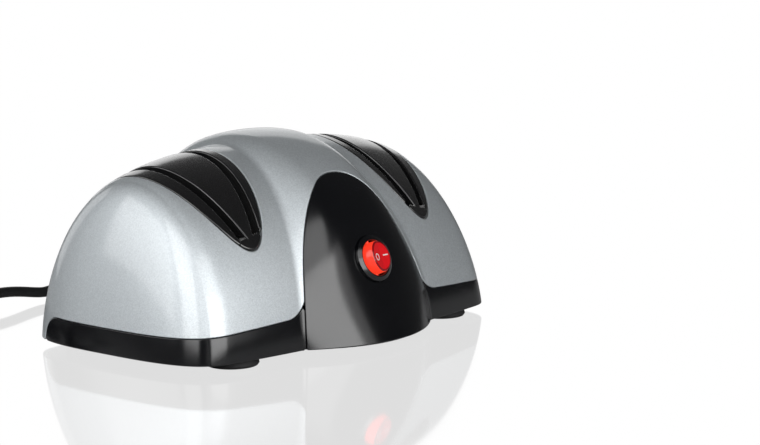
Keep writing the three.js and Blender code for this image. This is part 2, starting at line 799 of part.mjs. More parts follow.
// Toothed core outline: a boss with spokes that end in wide shoes
function coreOutline(grow) {
  const shoeInner = armatureRadius - motor.shoeThickness - grow;
  const bossRadius = bore + motor.coreBoss + grow;
  const pitch = (2 * halfTurn) / motor.armatureTeeth;
  const spokeHalf = motor.toothWidth / 2 + grow;
  const shoeHalfTurn = pitch / 2 - motor.slotOpening / 2 / armatureRadius + grow / armatureRadius;
  const points = [];
  const pushPolar = (radius, turn) => points.push(new THREE.Vector2(radius, 0).rotateAround(axisPoint, turn));
  for (let i = 0; i < motor.armatureTeeth; i++) {
    const middle = i * pitch;
    pushPolar(bossRadius, middle - Math.asin(spokeHalf / bossRadius));
    pushPolar(shoeInner, middle - Math.asin(spokeHalf / shoeInner));
    pushPolar(shoeInner, middle - shoeHalfTurn);
    for (const share of shoeShares) pushPolar(armatureRadius, middle + share * shoeHalfTurn);
    pushPolar(shoeInner, middle + shoeHalfTurn);
    pushPolar(shoeInner, middle + Math.asin(spokeHalf / shoeInner));
    pushPolar(bossRadius, middle + Math.asin(spokeHalf / bossRadius));
  }
  return new THREE.Shape(points);
}

const axisPoint = new THREE.Vector2();
const alongX = new THREE.Matrix4().makeBasis(point(0, 1, 0), point(0, 0, 1), point(1, 0, 0));

function pushedAlongX(shape, from, to) {
  const solid = pushedUp(shape, from, to);
  return solid.transform(alongX.elements);
}

function makeArmature() {
  const stack = pushedAlongX(coreOutline(0), -motor.armatureHalfLength, motor.armatureHalfLength);
  return cut(stack, rod(bore, -motor.halfLength, motor.halfLength, "x"));
}

function makeWinding() {
  const reach = motor.armatureHalfLength + motor.windingOverhang;
  const body = pipe(armatureRadius - motor.shoeThickness, bore, -reach, reach, "x", origin, discSides);
  const around = pushedAlongX(coreOutline(gap), -motor.armatureHalfLength - gap, motor.armatureHalfLength + gap);
  return cut(body, around);
}

function makeCommutator() {
  const from = motor.armatureHalfLength + motor.windingOverhang + gap;
  return pipe(motor.commutatorRadius, bore, from, from + motor.commutatorLength, "x");
}

const commutatorX = motor.armatureHalfLength + motor.windingOverhang + gap + motor.commutatorLength / 2;

// A hub pushed on the shaft, with a flange that backs the wheel
function makeHub(sign) {
  const reach = sign * (wheel.halfWidth - gap);
  const back = -sign * (wheel.halfWidth + gap);
  const flange = back - sign * wheel.flangeThickness;
  const profile = [
    [bore, flange],
    [wheel.flangeRadius, flange],
    [wheel.flangeRadius, back],
    [wheel.hubRadius, back],
    [wheel.hubRadius, reach],
    [bore, reach],
  ];
  return turned(sign > 0 ? profile : profile.reverse(), "x", origin, discSides);
}

// A grinding wheel: a flat rim between two bevels, and flat sides
function makeWheel() {
  return turned(
    [
      [wheel.hubRadius + fit, -wheel.halfWidth],
      [wheel.radius - wheel.bevelDepth, -wheel.halfWidth],
      [wheel.radius, -wheel.rimHalfWidth],
      [wheel.radius, wheel.rimHalfWidth],
      [wheel.radius - wheel.bevelDepth, wheel.halfWidth],
      [wheel.hubRadius + fit, wheel.halfWidth],
    ],
    "x",
    origin,
    discSides,
  );
}

function makeNut(sign) {
  const near = sign * (wheel.halfWidth + gap);
  const far = near + sign * wheel.nutWidth;
  const hex = rod(wheel.nutRadius, Math.min(near, far), Math.max(near, far), "x", origin, hexSides);
  return cut(hex, rod(bore, -wheel.radius, wheel.radius, "x"));
}

// The motor's still pieces, about the same axis

function makeCan() {
  return pipe(motor.radius, motor.radius - motor.canWall, -motor.halfLength, motor.halfLength, "x", origin, discSides);
}

const canBore = motor.radius - motor.canWall;

function makeBell(sign) {
  const inner = sign * (motor.halfLength - motor.bellThickness);
  const face = sign * motor.halfLength;
  const outer = face + sign * (motor.bearingWidth - motor.bellThickness);
  const profile = [
    [motor.bearingRadius + fit, inner],
    [canBore - fit, inner],
    [canBore - fit, face],
    [motor.bearingRadius + motor.bearingSeat, face],
    [motor.bearingRadius + motor.bearingSeat, outer],
    [motor.bearingRadius + fit, outer],
  ];
  return turned(sign > 0 ? profile : profile.reverse(), "x", origin, discSides);
}

function makeBearing(sign) {
  const inner = sign * (motor.halfLength - motor.bellThickness);
  const outer = inner + sign * motor.bearingWidth;
  const from = Math.min(inner, outer);
  return pipe(motor.bearingRadius, shaft.radius + 2 * fit, from, from + motor.bearingWidth, "x", origin, discSides);
}

function makeMagnet(side) {
  const outer = canBore - fit;
  const inner = outer - motor.magnetThickness + fit;
  const outline = new THREE.Shape();
  const middle = side * quarterTurn;
  outline.absarc(0, 0, outer, middle - motor.magnetSpan / 2, middle + motor.magnetSpan / 2);
  outline.absarc(0, 0, inner, middle + motor.magnetSpan / 2, middle - motor.magnetSpan / 2, true);
  return pushedAlongX(outline, -motor.magnetHalfLength, motor.magnetHalfLength);
}

function makeBrush(side) {
  const near = side * (motor.commutatorRadius + fit);
  const far = side * (canBore - gap);
  const low = point(commutatorX - motor.brushWidth / 2, -motor.brushHeight / 2, Math.min(near, far));
  const high = point(commutatorX + motor.brushWidth / 2, motor.brushHeight / 2, Math.max(near, far));
  return box(low, high);
}

// A strap over the motor: half a ring with an ear each side, screwed to the saddle
function makeStrap(sign) {
  const inner = motor.radius + gap;
  const outer = inner + motor.strapThickness;
  const earReach = outer + motor.earLength;
  const outline = new THREE.Shape();
  outline.moveTo(inner, half);
  outline.lineTo(earReach, half);
  outline.lineTo(earReach, half + motor.strapThickness);
  outline.lineTo(outer, half + motor.strapThickness);
  const earTurn = Math.asin((half + motor.strapThickness) / outer);
  outline.absarc(0, 0, outer, earTurn, halfTurn - earTurn);
  outline.lineTo(-earReach, half + motor.strapThickness);
  outline.lineTo(-earReach, half);
  outline.lineTo(-inner, half);
  outline.absarc(0, 0, inner, halfTurn, 0, true);
  const from = sign * saddleX - motor.saddleWidth / 2;
  const band = pushedAlongX(outline, from, from + motor.saddleWidth);
  const ways = [-1, 1].map((side) => rod(
    smallScrew.shankRadius + screw.pilotClearance,
    -overrun,
    motor.radius,
    "z",
    point(sign * saddleX, side * earScrewY, 0),
  ));
  return cut(band, ...ways);
}

// The rocker switch, in the frame of its seat: X along the housing, Y up the panel, Z out of it

function makeSwitchHousing() {
  const shellOfIt = turned(
    [
      [0, -rockerSwitch.bodyLength],
      [rockerSwitch.bodyRadius, -rockerSwitch.bodyLength],
      [rockerSwitch.bodyRadius, half],
      [rockerSwitch.flangeRadius, half],
      [rockerSwitch.flangeRadius - rockerSwitch.flangeBevel, rockerSwitch.flangeThickness],
      [rockerSwitch.pocketRadius, rockerSwitch.flangeThickness],
      [rockerSwitch.pocketRadius, -rockerSwitch.pocketDepth],
      [0, -rockerSwitch.pocketDepth],
    ],
    "z",
    origin,
    discSides,
  );
  const wide = rockerSwitch.baseHalfWidth;
  const back = -rockerSwitch.bodyLength;
  const block = box(point(-wide, -wide, back - rockerSwitch.baseLength), point(wide, wide, back + overrun));
  const pinWay = rod(rocker.pinRadius + fit, -rockerSwitch.bodyRadius, rockerSwitch.bodyRadius, "y", pivotPoint);
  return cut(join(shellOfIt, block), pinWay);
}

const pivotPoint = point(0, 0, -rocker.pivotDepth);

// The rocker about its pivot, with a shallow valley across its face
function makeRocker() {
  const body = turned(
    [
      [0, -rocker.depth],
      [rocker.footRadius, -rocker.depth],
      [rocker.radius, 0],
      [rocker.topRadius, rocker.height],
      [0, rocker.height],
    ],
    "z",
    origin,
    discSides,
  );
  const wide = rocker.radius + overrun;
  const valley = new THREE.Shape([
    new THREE.Vector2(0, rocker.height - rocker.dish),
    new THREE.Vector2(wide, rocker.height),
    new THREE.Vector2(wide, rocker.height + overrun),
    new THREE.Vector2(-wide, rocker.height + overrun),
    new THREE.Vector2(-wide, rocker.height),
  ]);
  const pin = rod(rocker.pinRadius, -rocker.radius - rocker.pinReach, rocker.radius + rocker.pinReach, "y");
  return join(cut(body, pushedBack(valley, -wide, wide)), pin);
}

function makeTerminal(sign) {
  const near = -rockerSwitch.bodyLength - rockerSwitch.baseLength - fit;
  const x = (sign * rockerSwitch.terminalPitch) / 2;
  const halfThick = rockerSwitch.terminalThickness / 2;
  const low = point(x - halfThick, -rockerSwitch.terminalHalfWidth, near - rockerSwitch.terminalLength);
  return box(low, point(x + halfThick, rockerSwitch.terminalHalfWidth, near));
}

// The rectifier board on its two stands

const boardBottom = floorTop + circuit.standHeight + half;
const boardTop = boardBottom + circuit.thickness;

function makeBoard() {
  const low = point(boardX - circuit.halfLength, circuit.centreY - circuit.halfDepth, boardBottom);
  const high = point(boardX + circuit.halfLength, circuit.centreY + circuit.halfDepth, boardTop);
  const ways = standPlaces.map((at) => rod(pilotRadius, boardBottom - overrun, boardTop + overrun, "z", flat(at)));
  return cut(box(low, high), ...ways);
}

const flat = (at) => point(at.x, at.y, 0);

function makeCapacitor() {
  const at = point(boardX + circuit.capacitorX, circuit.centreY, boardTop + fit);
  const lip = circuit.capacitorRadius - fit;
  return turned(
    [
      [0, 0],
      [circuit.capacitorRadius, 0],
      [circuit.capacitorRadius, circuit.capacitorHeight - 2 * fit],
      [lip, circuit.capacitorHeight],
      [0, circuit.capacitorHeight],
    ],
    "z",
    at,
  );
}

function makeRectifier() {
  const at = point(boardX + circuit.rectifierX, circuit.centreY, boardTop + fit);
  const halfLong = circuit.rectifierLength / 2;
  const halfThick = circuit.rectifierThickness / 2;
  return box(
    point(at.x - halfLong, at.y - halfThick, at.z),
    point(at.x + halfLong, at.y + halfThick, at.z + circuit.rectifierHeight),
  );
}

// The cord's way in: tapered relief outside, a tail inside, and a bar screwed down over the tail

function makeRelief() {
  const inside = -wall - half;
  const bend = entry.reliefLength / 2;
  return turned(
    [
      [0, inside - entry.collarThickness],
      [entry.collarRadius, inside - entry.collarThickness],
      [entry.collarRadius, inside],
      [entry.reliefRadius, inside],
      [entry.reliefRadius, bend],
      [entry.reliefTipRadius, entry.reliefLength],
      [0, entry.reliefLength],
    ],
    "y",
    entryPoint,
    discSides / 2,
  );
}

const tailEnd = entryPoint.y - wall - gap - entry.collarThickness - entry.tailLength;

function makeTail() {
  const from = -wall - gap - entry.collarThickness - entry.tailLength;
  return rod(cord.radius, from, -wall - gap - entry.collarThickness - fit, "y", entryPoint);
}

function makeClamp() {
  const low = floorTop + clampSeatHeight + half;
  const reach = entry.clampHalfSpan + circuit.standRadius;
  const depth = entry.clampDepth / 2;
  const top = entryPoint.z + cord.radius + gap + entry.clampThickness;
  const bar = box(point(entry.x - reach, clampY - depth, low), point(entry.x + reach, clampY + depth, top));
  const groove = rod(cord.radius + gap, -entry.clampDepth, entry.clampDepth, "y", point(entry.x, clampY, entryPoint.z));
  const ways = clampPlaces.map((at) => rod(pilotRadius, low - overrun, top + overrun, "z", flat(at)));
  return cut(bar, groove, ...ways);
}

// A small screw driven down from a height
function makeSmallScrew() {
  const { headRadius, headHeight, shankRadius, length } = smallScrew;
  return turned(
    [
      [0, -length],
      [shankRadius, -length],
      [shankRadius, 0],
      [headRadius, 0],
      [headRadius, headHeight],
      [0, headHeight],
    ],
    "z",
  );
}

// A wire or cord through points chosen by hand
function tube(points, radius, tubeSides, steps) {
  const section = new THREE.Shape();
  section.absarc(0, 0, radius, 0, 2 * halfTurn);
  const path = new THREE.CatmullRomCurve3(points.map(([x, y, z]) => point(x, y, z)));
  const geometry = new THREE.ExtrudeGeometry(section, {
    extrudePath: path,
    steps,
    curveSegments: tubeSides,
    bevelEnabled: false,
  });
  return toSolid(geometry);
}

// The free cord: a stretch laid by hand, a coil in two layers with a straight tail, a tie and the plug

const reliefEnd = entryPoint.y + entry.reliefLength;
const coilY = reliefEnd + coil.fromRelief;
const cordPoints = cordRoute.map(([x, behind, z]) => [x, reliefEnd + behind, z]);
const coilTop = coil.lift + 2 * cord.radius + coil.turnGap;
const coilPitch = 2 * cord.radius + coil.turnGap;

// Straight for one diameter, in along a spiral, up a layer while the spiral reverses, out again, and straight
function coilPath() {
  const total = 2 * coil.turnsPerLayer;
  const count = Math.round(total * coil.stepsPerTurn);
  const points = [];
  for (let i = 0; i <= count; i++) {
    const turns = (total * i) / count;
    const inward = Math.min(turns, total - turns);
    const climbStart = (total - coil.climbTurns) / 2;
    const climb = THREE.MathUtils.smoothstep(turns, climbStart, climbStart + coil.climbTurns);
    const radius = coil.outerRadius - coilPitch * inward;
    const angle = coil.startAngle + 2 * halfTurn * turns;
    const z = THREE.MathUtils.lerp(coil.lift, coilTop, climb);
    points.push(point(coil.x + radius * Math.cos(angle), coilY + radius * Math.sin(angle), z));
  }
  const first = points[0];
  const last = points.at(-1);
  const heading = point(-Math.sin(coil.startAngle), Math.cos(coil.startAngle), 0);
  points.unshift(first.clone().addScaledVector(heading, -2 * cord.radius));
  for (const share of tailShares) {
    const drop = THREE.MathUtils.smoothstep(share, tailDropShares[0], tailDropShares[1]);
    const z = THREE.MathUtils.lerp(coilTop, plugAxisHeight, drop);
    points.push(point(last.x, last.y - share * coil.tailLength, z));
  }
  return points;
}

function sweep(path, radius, ringSides) {
  const rings = path.map((at, i) => {
    const before = path[Math.max(i - 1, 0)];
    const after = path[Math.min(i + 1, path.length - 1)];
    const tangent = new THREE.Vector3().subVectors(after, before).normalize();
    const side = new THREE.Vector3().crossVectors(tangent, point(0, 0, 1)).normalize();
    const up = new THREE.Vector3().crossVectors(side, tangent);
    return Array.from({ length: ringSides }, (_, j) => {
      const turn = (2 * halfTurn * j) / ringSides;
      return at.clone().addScaledVector(side, radius * Math.cos(turn)).addScaledVector(up, -radius * Math.sin(turn));
    });
  });
  return loft(rings);
}

// The least distance between turns of the coil, less the cord's thickness
function leastGap(path) {
  const apart = coil.stepsPerTurn / 2;
  let least = Infinity;
  path.forEach((a, i) => {
    for (let j = i + apart; j < path.length; j++) least = Math.min(least, a.distanceTo(path[j]));
  });
  return least - 2 * cord.radius;
}

// A strap round the bundle of turns at one place of the coil
function makeTie(path) {
  const outward = point(Math.cos(coil.tieAngle), Math.sin(coil.tieAngle), 0);
  const along = point(-outward.y, outward.x, 0);
  const centre = point(coil.x, coilY, 0);
  const crossing = path
    .map((at) => at.clone().sub(centre))
    .filter((from) => from.dot(outward) > 0 && Math.abs(from.dot(along)) < coilPitch);
  const reaches = crossing.map((from) => from.dot(outward));
  const clear = cord.radius + coil.turnGap;
  const inner = { near: Math.min(...reaches) - clear, far: Math.max(...reaches) + clear };
  const low = coil.lift - cord.radius - half;
  const high = coilTop + cord.radius + half;
  const thick = coil.tieThickness;
  const outline = roundedRectangle(inner.near - thick, low - thick, inner.far + thick, high + thick, coil.tieCorner);
  outline.holes.push(roundedRectangle(inner.near, low, inner.far, high, coil.tieCorner - thick));
  const geometry = new THREE.ExtrudeGeometry(outline, { depth: coil.tieWidth, bevelEnabled: false, curveSegments: 3 });
  geometry.translate(0, 0, -coil.tieWidth / 2);
  const turn = new THREE.Matrix4().makeBasis(outward, point(0, 0, 1), point(outward.y, -outward.x, 0));
  geometry.applyMatrix4(turn.setPosition(centre));
  return toSolid(geometry);
}

function roundedRectangle(left, low, right, high, corner) {
  const outline = new THREE.Shape();
  outline.absarc(right - corner, low + corner, corner, -quarterTurn, 0);
  outline.absarc(right - corner, high - corner, corner, 0, quarterTurn);
  outline.absarc(left + corner, high - corner, corner, quarterTurn, halfTurn);
  outline.absarc(left + corner, low + corner, corner, halfTurn, halfTurn + quarterTurn);
  return outline;
}

// The flat two-pin plug, along -Y from where the cord meets it
function makePlug() {
  const wide = plug.width / 2;
  const thick = plug.thickness / 2;
  const sleeve = turned(
    [
      [0, -plug.sleeveLength - overrun],
      [plug.sleeveRadius, -plug.sleeveLength - overrun],
      [plug.tipRadius, 0],
      [0, 0],
    ],
    "y",
    origin,
    discSides / 2,
  );
  const rings = plugShares.map(([along, across, deep]) => {
    const y = -plug.sleeveLength - along * (plug.length - plug.sleeveLength);
    return Array.from({ length: smallSides }, (_, i) => {
      const turn = (2 * halfTurn * i) / smallSides;
      const x = wide * across * Math.sign(Math.cos(turn)) * Math.abs(Math.cos(turn)) ** plugCornerPower;
      const z = thick * deep * Math.sign(Math.sin(turn)) * Math.abs(Math.sin(turn)) ** plugCornerPower;
      return point(x, y, z);
    });
  });
  return join(loft(rings), sleeve);
}

function makePin(sign) {
  const at = point((sign * plug.pinPitch) / 2, -plug.length - fit, 0);
  const tip = plug.pinRadius / 2;
  return turned(
    [
      [0, -plug.pinLength],
      [tip, -plug.pinLength],
      [plug.pinRadius, tip - plug.pinLength],
      [plug.pinRadius, 0],
      [0, 0],
    ],
    "y",
    at,
  );
}

// Assembly

addPiece(group, "upper_shell", makeShell(), finish.silver);
addPiece(group, "front_panel", makePanel(), finish.blackPlastic);
addPiece(group, "base_tray", makeBase(), finish.blackPlastic);
for (const { name, sign } of sides) {
  addPiece(group, `blade_guide_${name}`, makeGuide(sign), finish.guidePlastic);
}
for (const { name, at } of footPlaces) {
  addPiece(group, `foot_${name}`, makeFoot(), finish.rubber).position.copy(at);
}
for (const { name, at } of screwPlaces) {
  const mesh = addPiece(group, `base_screw_${name}`, makeScrew(screw), finish.zincPlate);
  mesh.position.set(at.x, at.y, footHeight + fit);
}

const axle = addGroup(group, shaftCentre);
addPiece(axle, "motor_can", makeCan(), finish.zincPlate);
addPiece(axle, "magnet_front", makeMagnet(-1), finish.ferrite);
addPiece(axle, "magnet_rear", makeMagnet(1), finish.ferrite);
addPiece(axle, "brush_upper", makeBrush(1), finish.carbon);
addPiece(axle, "brush_lower", makeBrush(-1), finish.carbon);
for (const { name, sign } of sides) {
  addPiece(axle, `motor_bell_${name}`, makeBell(sign), finish.zincPlate);
  addPiece(axle, `bearing_${name}`, makeBearing(sign), finish.brass);
  addPiece(axle, `motor_strap_${name}`, makeStrap(sign), finish.zincPlate);
  for (const [place, side] of [["front", -1], ["rear", 1]]) {
    const mesh = addPiece(axle, `strap_screw_${name}_${place}`, makeSmallScrew(), finish.zincPlate);
    mesh.position.set(sign * saddleX, side * earScrewY, half + motor.strapThickness + fit);
  }
}

const rotor = addGroup(axle, origin);
addPiece(rotor, "shaft", makeShaft(), finish.steel);
addPiece(rotor, "armature_core", makeArmature(), finish.core);
addPiece(rotor, "armature_winding", makeWinding(), finish.copper);
addPiece(rotor, "commutator", makeCommutator(), finish.copper);
const grits = { left: finish.coarseGrit, right: finish.fineGrit };
const wheelNames = { left: "coarse_wheel", right: "fine_wheel" };
for (const { name, sign } of sides) {
  const station = addGroup(rotor, point(sign * stationX, 0, 0));
  addPiece(station, `wheel_hub_${name}`, makeHub(sign), finish.hubPlastic);
  addPiece(station, wheelNames[name], makeWheel(), grits[name]);
  addPiece(station, `wheel_nut_${name}`, makeNut(sign), finish.steel);
}

const switchGroup = addGroup(group, origin);
switchGroup.applyMatrix4(switchMatrix);
addPiece(switchGroup, "switch_housing", makeSwitchHousing(), finish.blackPlastic);
addPiece(switchGroup, "switch_terminal_left", makeTerminal(-1), finish.brass);
addPiece(switchGroup, "switch_terminal_right", makeTerminal(1), finish.brass);
const rockerPiece = addPiece(switchGroup, "rocker", makeRocker(), finish.redPlastic);
rockerPiece.position.copy(pivotPoint);
rockerPiece.rotation.y = rocker.tilt;

addPiece(group, "circuit_board", makeBoard(), finish.board);
addPiece(group, "capacitor", makeCapacitor(), finish.capacitor);
addPiece(group, "rectifier", makeRectifier(), finish.blackPlastic);
standPlaces.forEach((at, i) => {
  const mesh = addPiece(group, `board_screw_${sides[i].name}`, makeSmallScrew(), finish.zincPlate);
  mesh.position.set(at.x, at.y, boardTop + fit);
});

addPiece(group, "strain_relief", makeRelief(), finish.rubber);
addPiece(group, "cord_tail", makeTail(), finish.cord);
addPiece(group, "cord_clamp", makeClamp(), finish.blackPlastic);
clampPlaces.forEach((at, i) => {
  const mesh = addPiece(group, `clamp_screw_${sides[i].name}`, makeSmallScrew(), finish.zincPlate);
  mesh.position.set(at.x, at.y, entryPoint.z + cord.radius + gap + entry.clampThickness + fit);
});
const terminalReach = rockerSwitch.bodyLength + rockerSwitch.baseLength + fit + rockerSwitch.terminalLength;
const leadAnchors = {
  tail: point(entry.x, tailEnd, entryPoint.z),
  board: point(boardX, circuit.centreY, boardTop),
  aside: origin,
  terminals: point(0, 0, -terminalReach).applyMatrix4(switchMatrix),
};
for (const [name, stretches] of Object.entries(leadRoutes)) {
  const points = Object.entries(stretches).flatMap(([anchor, places]) =>
    places.map(([x, y, z]) => leadAnchors[anchor].clone().add(point(x, y, z)).toArray()),
  );
  addPiece(group, name, tube(points, lead.radius, leadSides, leadSteps), finish.cord);
}

const turns = coilPath();
addPiece(group, "mains_cord", tube(cordPoints, cord.radius, cordSides, cordSteps), finish.cord);
addPiece(group, "cord_coil", sweep(turns, cord.radius, coilSides), finish.cord);
addPiece(group, "cord_tie", makeTie(turns), finish.rubber);
const plugGroup = addGroup(group, turns.at(-1).clone().add(point(0, -gap, 0)));
addPiece(plugGroup, "plug_body", makePlug(), finish.cord);
addPiece(plugGroup, "plug_pin_left", makePin(-1), finish.brass);
addPiece(plugGroup, "plug_pin_right", makePin(1), finish.brass);
console.log(`least gap between turns of the coil: ${leastGap(turns).toFixed(2)} mm`);

export default group;
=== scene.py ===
import math

import bpy
import numpy as np
from mathutils import Matrix, Vector


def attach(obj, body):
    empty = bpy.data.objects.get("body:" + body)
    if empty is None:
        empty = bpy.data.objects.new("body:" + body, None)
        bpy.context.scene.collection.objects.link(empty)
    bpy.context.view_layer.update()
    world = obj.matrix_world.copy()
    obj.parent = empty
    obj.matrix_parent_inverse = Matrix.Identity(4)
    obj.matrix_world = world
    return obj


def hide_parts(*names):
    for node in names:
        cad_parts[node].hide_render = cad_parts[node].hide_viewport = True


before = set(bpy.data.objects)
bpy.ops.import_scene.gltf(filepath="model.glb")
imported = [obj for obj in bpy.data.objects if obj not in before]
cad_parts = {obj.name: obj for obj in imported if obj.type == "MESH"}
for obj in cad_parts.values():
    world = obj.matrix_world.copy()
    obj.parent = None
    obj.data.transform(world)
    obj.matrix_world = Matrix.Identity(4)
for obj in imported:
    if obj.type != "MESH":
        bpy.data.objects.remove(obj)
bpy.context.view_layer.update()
mm = 0.001  # the sizes in the dictionaries are millimetres
quarterTurn = math.pi / 2
halfTurn = math.pi
fullTurn = 2 * math.pi


# Camera, floor and lights

cameraView = {
    "target": (85.9, 0, 42.1),
    "distance": 1241,
    "azimuth": -49.1,
    "elevation": 8.92,
    "roll": -0.47,
    "lens": 111.15,
    "clip": (0.05, 50),  # metres
}


def placeCamera(view):
    turn, rise, roll = (math.radians(view[key]) for key in ("azimuth", "elevation", "roll"))
    back = Vector((math.sin(turn) * math.cos(rise), -math.cos(turn) * math.cos(rise), math.sin(rise)))
    right = Vector((math.cos(turn), math.sin(turn), 0))
    up = back.cross(right)
    side = right * math.cos(roll) + up * math.sin(roll)
    head = up * math.cos(roll) - right * math.sin(roll)
    camera = bpy.data.objects.new("camera", bpy.data.cameras.new("camera"))
    camera.data.lens = view["lens"]
    camera.data.clip_start, camera.data.clip_end = view["clip"]
    place = (Vector(view["target"]) + back * view["distance"]) * mm
    camera.matrix_world = Matrix.Translation(place) @ Matrix((side, head, back)).transposed().to_4x4()
    bpy.context.scene.collection.objects.link(camera)
    bpy.context.scene.camera = camera


class Wire:
    # One socket of a node tree; sums and products of wires add Math nodes
    def __init__(self, tree, socket=None):
        self.tree = tree
        self.socket = socket

    def node(self, kind, settings=None, inputs=None, output=0):
        made = self.tree.nodes.new("ShaderNode" + kind)
        for name, value in (settings or {}).items():
            setattr(made, name, value)
        for key, value in (inputs or {}).items():
            if isinstance(value, Wire):
                self.tree.links.new(value.socket, made.inputs[key])
            else:
                made.inputs[key].default_value = value
        return Wire(self.tree, made.outputs[output])

    def calculated(self, operation, *values):
        return self.node("Math", {"operation": operation}, dict(enumerate(values)))

    def __add__(self, other):
        return self.calculated("ADD", self, other)

    def __sub__(self, other):
        return self.calculated("SUBTRACT", self, other)

    def __rsub__(self, other):
        return self.calculated("SUBTRACT", other, self)

    def __mul__(self, other):
        return self.calculated("MULTIPLY", self, other)

    def __gt__(self, other):
        return self.calculated("GREATER_THAN", self, other)

    __radd__ = __add__
    __rmul__ = __mul__


def rgb(red, green, blue):
    return (red, green, blue, 1)


def madeMaterial(name, paint):
    material = bpy.data.materials.new(name)
    material.use_nodes = True
    tree = material.node_tree
    shader = tree.nodes["Principled BSDF"]
    place = Wire(tree).node("TexCoord", output="Object")
    for key, value in paint(place).items():
        if isinstance(value, Wire):
            tree.links.new(value.socket, shader.inputs[key])
        else:
            shader.inputs[key].default_value = value
    return material


# To the camera the floor is white with a faint mirror image, and to other rays a plain grey
floorLook = {
    "size": 9000,
    "drop": 0.1,
    "tone": (0.5, 0.5, 0.505),
    "glow": 1.0,  # share of white in what the camera sees
    "mirror": 0.27,
    "mirrorRoughness": 0.06,
}


def makeFloor(look):
    half = look["size"] / 2 * mm
    mesh = bpy.data.meshes.new("floor")
    z = -look["drop"] * mm
    corners = [(-half, -half, z), (half, -half, z), (half, half, z), (-half, half, z)]
    mesh.from_pydata(corners, [], [(0, 1, 2, 3)])
    floor = bpy.data.objects.new("floor", mesh)
    bpy.context.scene.collection.objects.link(floor)
    material = bpy.data.materials.new("floorWhite")
    material.use_nodes = True
    tree = material.node_tree
    tree.nodes.remove(tree.nodes["Principled BSDF"])
    start = Wire(tree)
    rays = start.node("LightPath", output="Is Camera Ray")
    glow = start.node("Emission", inputs={"Color": rgb(1, 1, 1), "Strength": 1.0})
    plain = start.node("BsdfDiffuse", inputs={"Color": rgb(*look["tone"])})
    mirror = start.node("BsdfGlossy", inputs={"Color": rgb(1, 1, 1), "Roughness": look["mirrorRoughness"]})
    lit = start.node("MixShader", inputs={0: rays * look["glow"], 1: plain, 2: glow})
    whole = start.node("MixShader", inputs={0: rays * look["mirror"], 1: lit, 2: mirror})
    tree.links.new(whole.socket, tree.nodes["Material Output"].inputs["Surface"])
    mesh.materials.append(material)


# White to the camera, dim to the object; glossy rays also meet the white backdrop behind the object,
# which fades out sideways and upwards between the pairs of values
skyLook = {"ambient": 0.05, "backdrop": 1.0, "far": 45, "edge": (0.33, 0.24), "top": (0.5, 0.42)}


def makeSky(look):
    world = bpy.data.worlds.new("studio")
    bpy.context.scene.world = world
    world.use_nodes = True
    tree = world.node_tree
    background = tree.nodes["Background"]
    start = Wire(tree)
    seen, glossy, through = (
        start.node("LightPath", output=kind)
        for kind in ("Is Camera Ray", "Is Glossy Ray", "Is Transmission Ray")
    )
    way = start.node("TexCoord", output="Generated")
    turn = math.radians(look["far"])
    forward, aside = (
        way.node("VectorMath", {"operation": "DOT_PRODUCT"}, {0: way, 1: axis}, output="Value")
        for axis in ((math.cos(turn), math.sin(turn), 0), (-math.sin(turn), math.cos(turn), 0))
    )
    height = way.node("SeparateXYZ", inputs={"Vector": way}, output="Z")

    def within(value, limits):
        return way.node(
            "MapRange",
            {"interpolation_type": "SMOOTHSTEP"},
            {"Value": value, "From Min": limits[0], "From Max": limits[1]},
        )

    middle = within(aside.calculated("ABSOLUTE", aside), look["edge"])
    ahead = middle * (forward > 0) * within(height, look["top"])
    light = (glossy + through) * ahead * (look["backdrop"] - look["ambient"]) + look["ambient"]
    strength = light.calculated("MAXIMUM", light, seen)
    background.inputs["Color"].default_value = rgb(1, 1, 1)
    tree.links.new(strength.socket, background.inputs["Strength"])


# Soft boxes round the middle of the housing, by direction, size and radiance
lampPlace = {"height": 40, "distance": 1300}
lamps = {
    "sideBox": {"azimuth": -167, "elevation": 30, "size": (700, 1100), "radiance": 3.1},
    "frontBox": {"azimuth": -102, "elevation": 17, "size": (1158, 650), "radiance": 4.1},
    "highBox": {"azimuth": -105, "elevation": 42, "size": (1000, 420), "radiance": 2.0},
    "frontEdge": {"azimuth": -72, "elevation": 17, "size": (300, 650), "radiance": 0.95},
    "backBox": {"azimuth": 150, "elevation": 24, "size": (850, 720), "radiance": 2.2},
    "leftBox": {"azimuth": 92, "elevation": 14, "size": (505, 600), "radiance": 1.0},
}


def makeLamp(name, lamp):
    light = bpy.data.lights.new(name, "AREA")
    light.shape = "RECTANGLE"
    light.size, light.size_y = (side * mm for side in lamp["size"])
    light.energy = lamp["radiance"] * light.size * light.size_y * math.pi
    holder = bpy.data.objects.new(name, light)
    turn, rise = math.radians(lamp["azimuth"]), math.radians(lamp["elevation"])
    way = Vector((math.cos(turn) * math.cos(rise), math.sin(turn) * math.cos(rise), math.sin(rise)))
    holder.location = Vector((0, 0, lampPlace["height"] * mm)) + way * lampPlace["distance"] * mm
    holder.rotation_euler = way.to_track_quat("Z", "Y").to_euler()
    bpy.context.scene.collection.objects.link(holder)


placeCamera(cameraView)
makeFloor(floorLook)
makeSky(skyLook)
for lampName, lampSettings in lamps.items():
    makeLamp(lampName, lampSettings)
bpy.context.scene.view_settings.view_transform = "Standard"
print("camera, floor and lights are set")


# Finishes

def noise(place, scale, detail):
    return place.node("TexNoise", inputs={"Vector": place, "Scale": scale, "Detail": detail}, output="Fac")


def mixed(share, first, second):
    return share.node("Mix", {"data_type": "RGBA"}, {0: share, "A": first, "B": second}, output="Result")


def bumped(height, strength, distance):
    return height.node(
        "Bump", inputs={"Height": height, "Strength": strength, "Distance": distance}, output="Normal"
    )


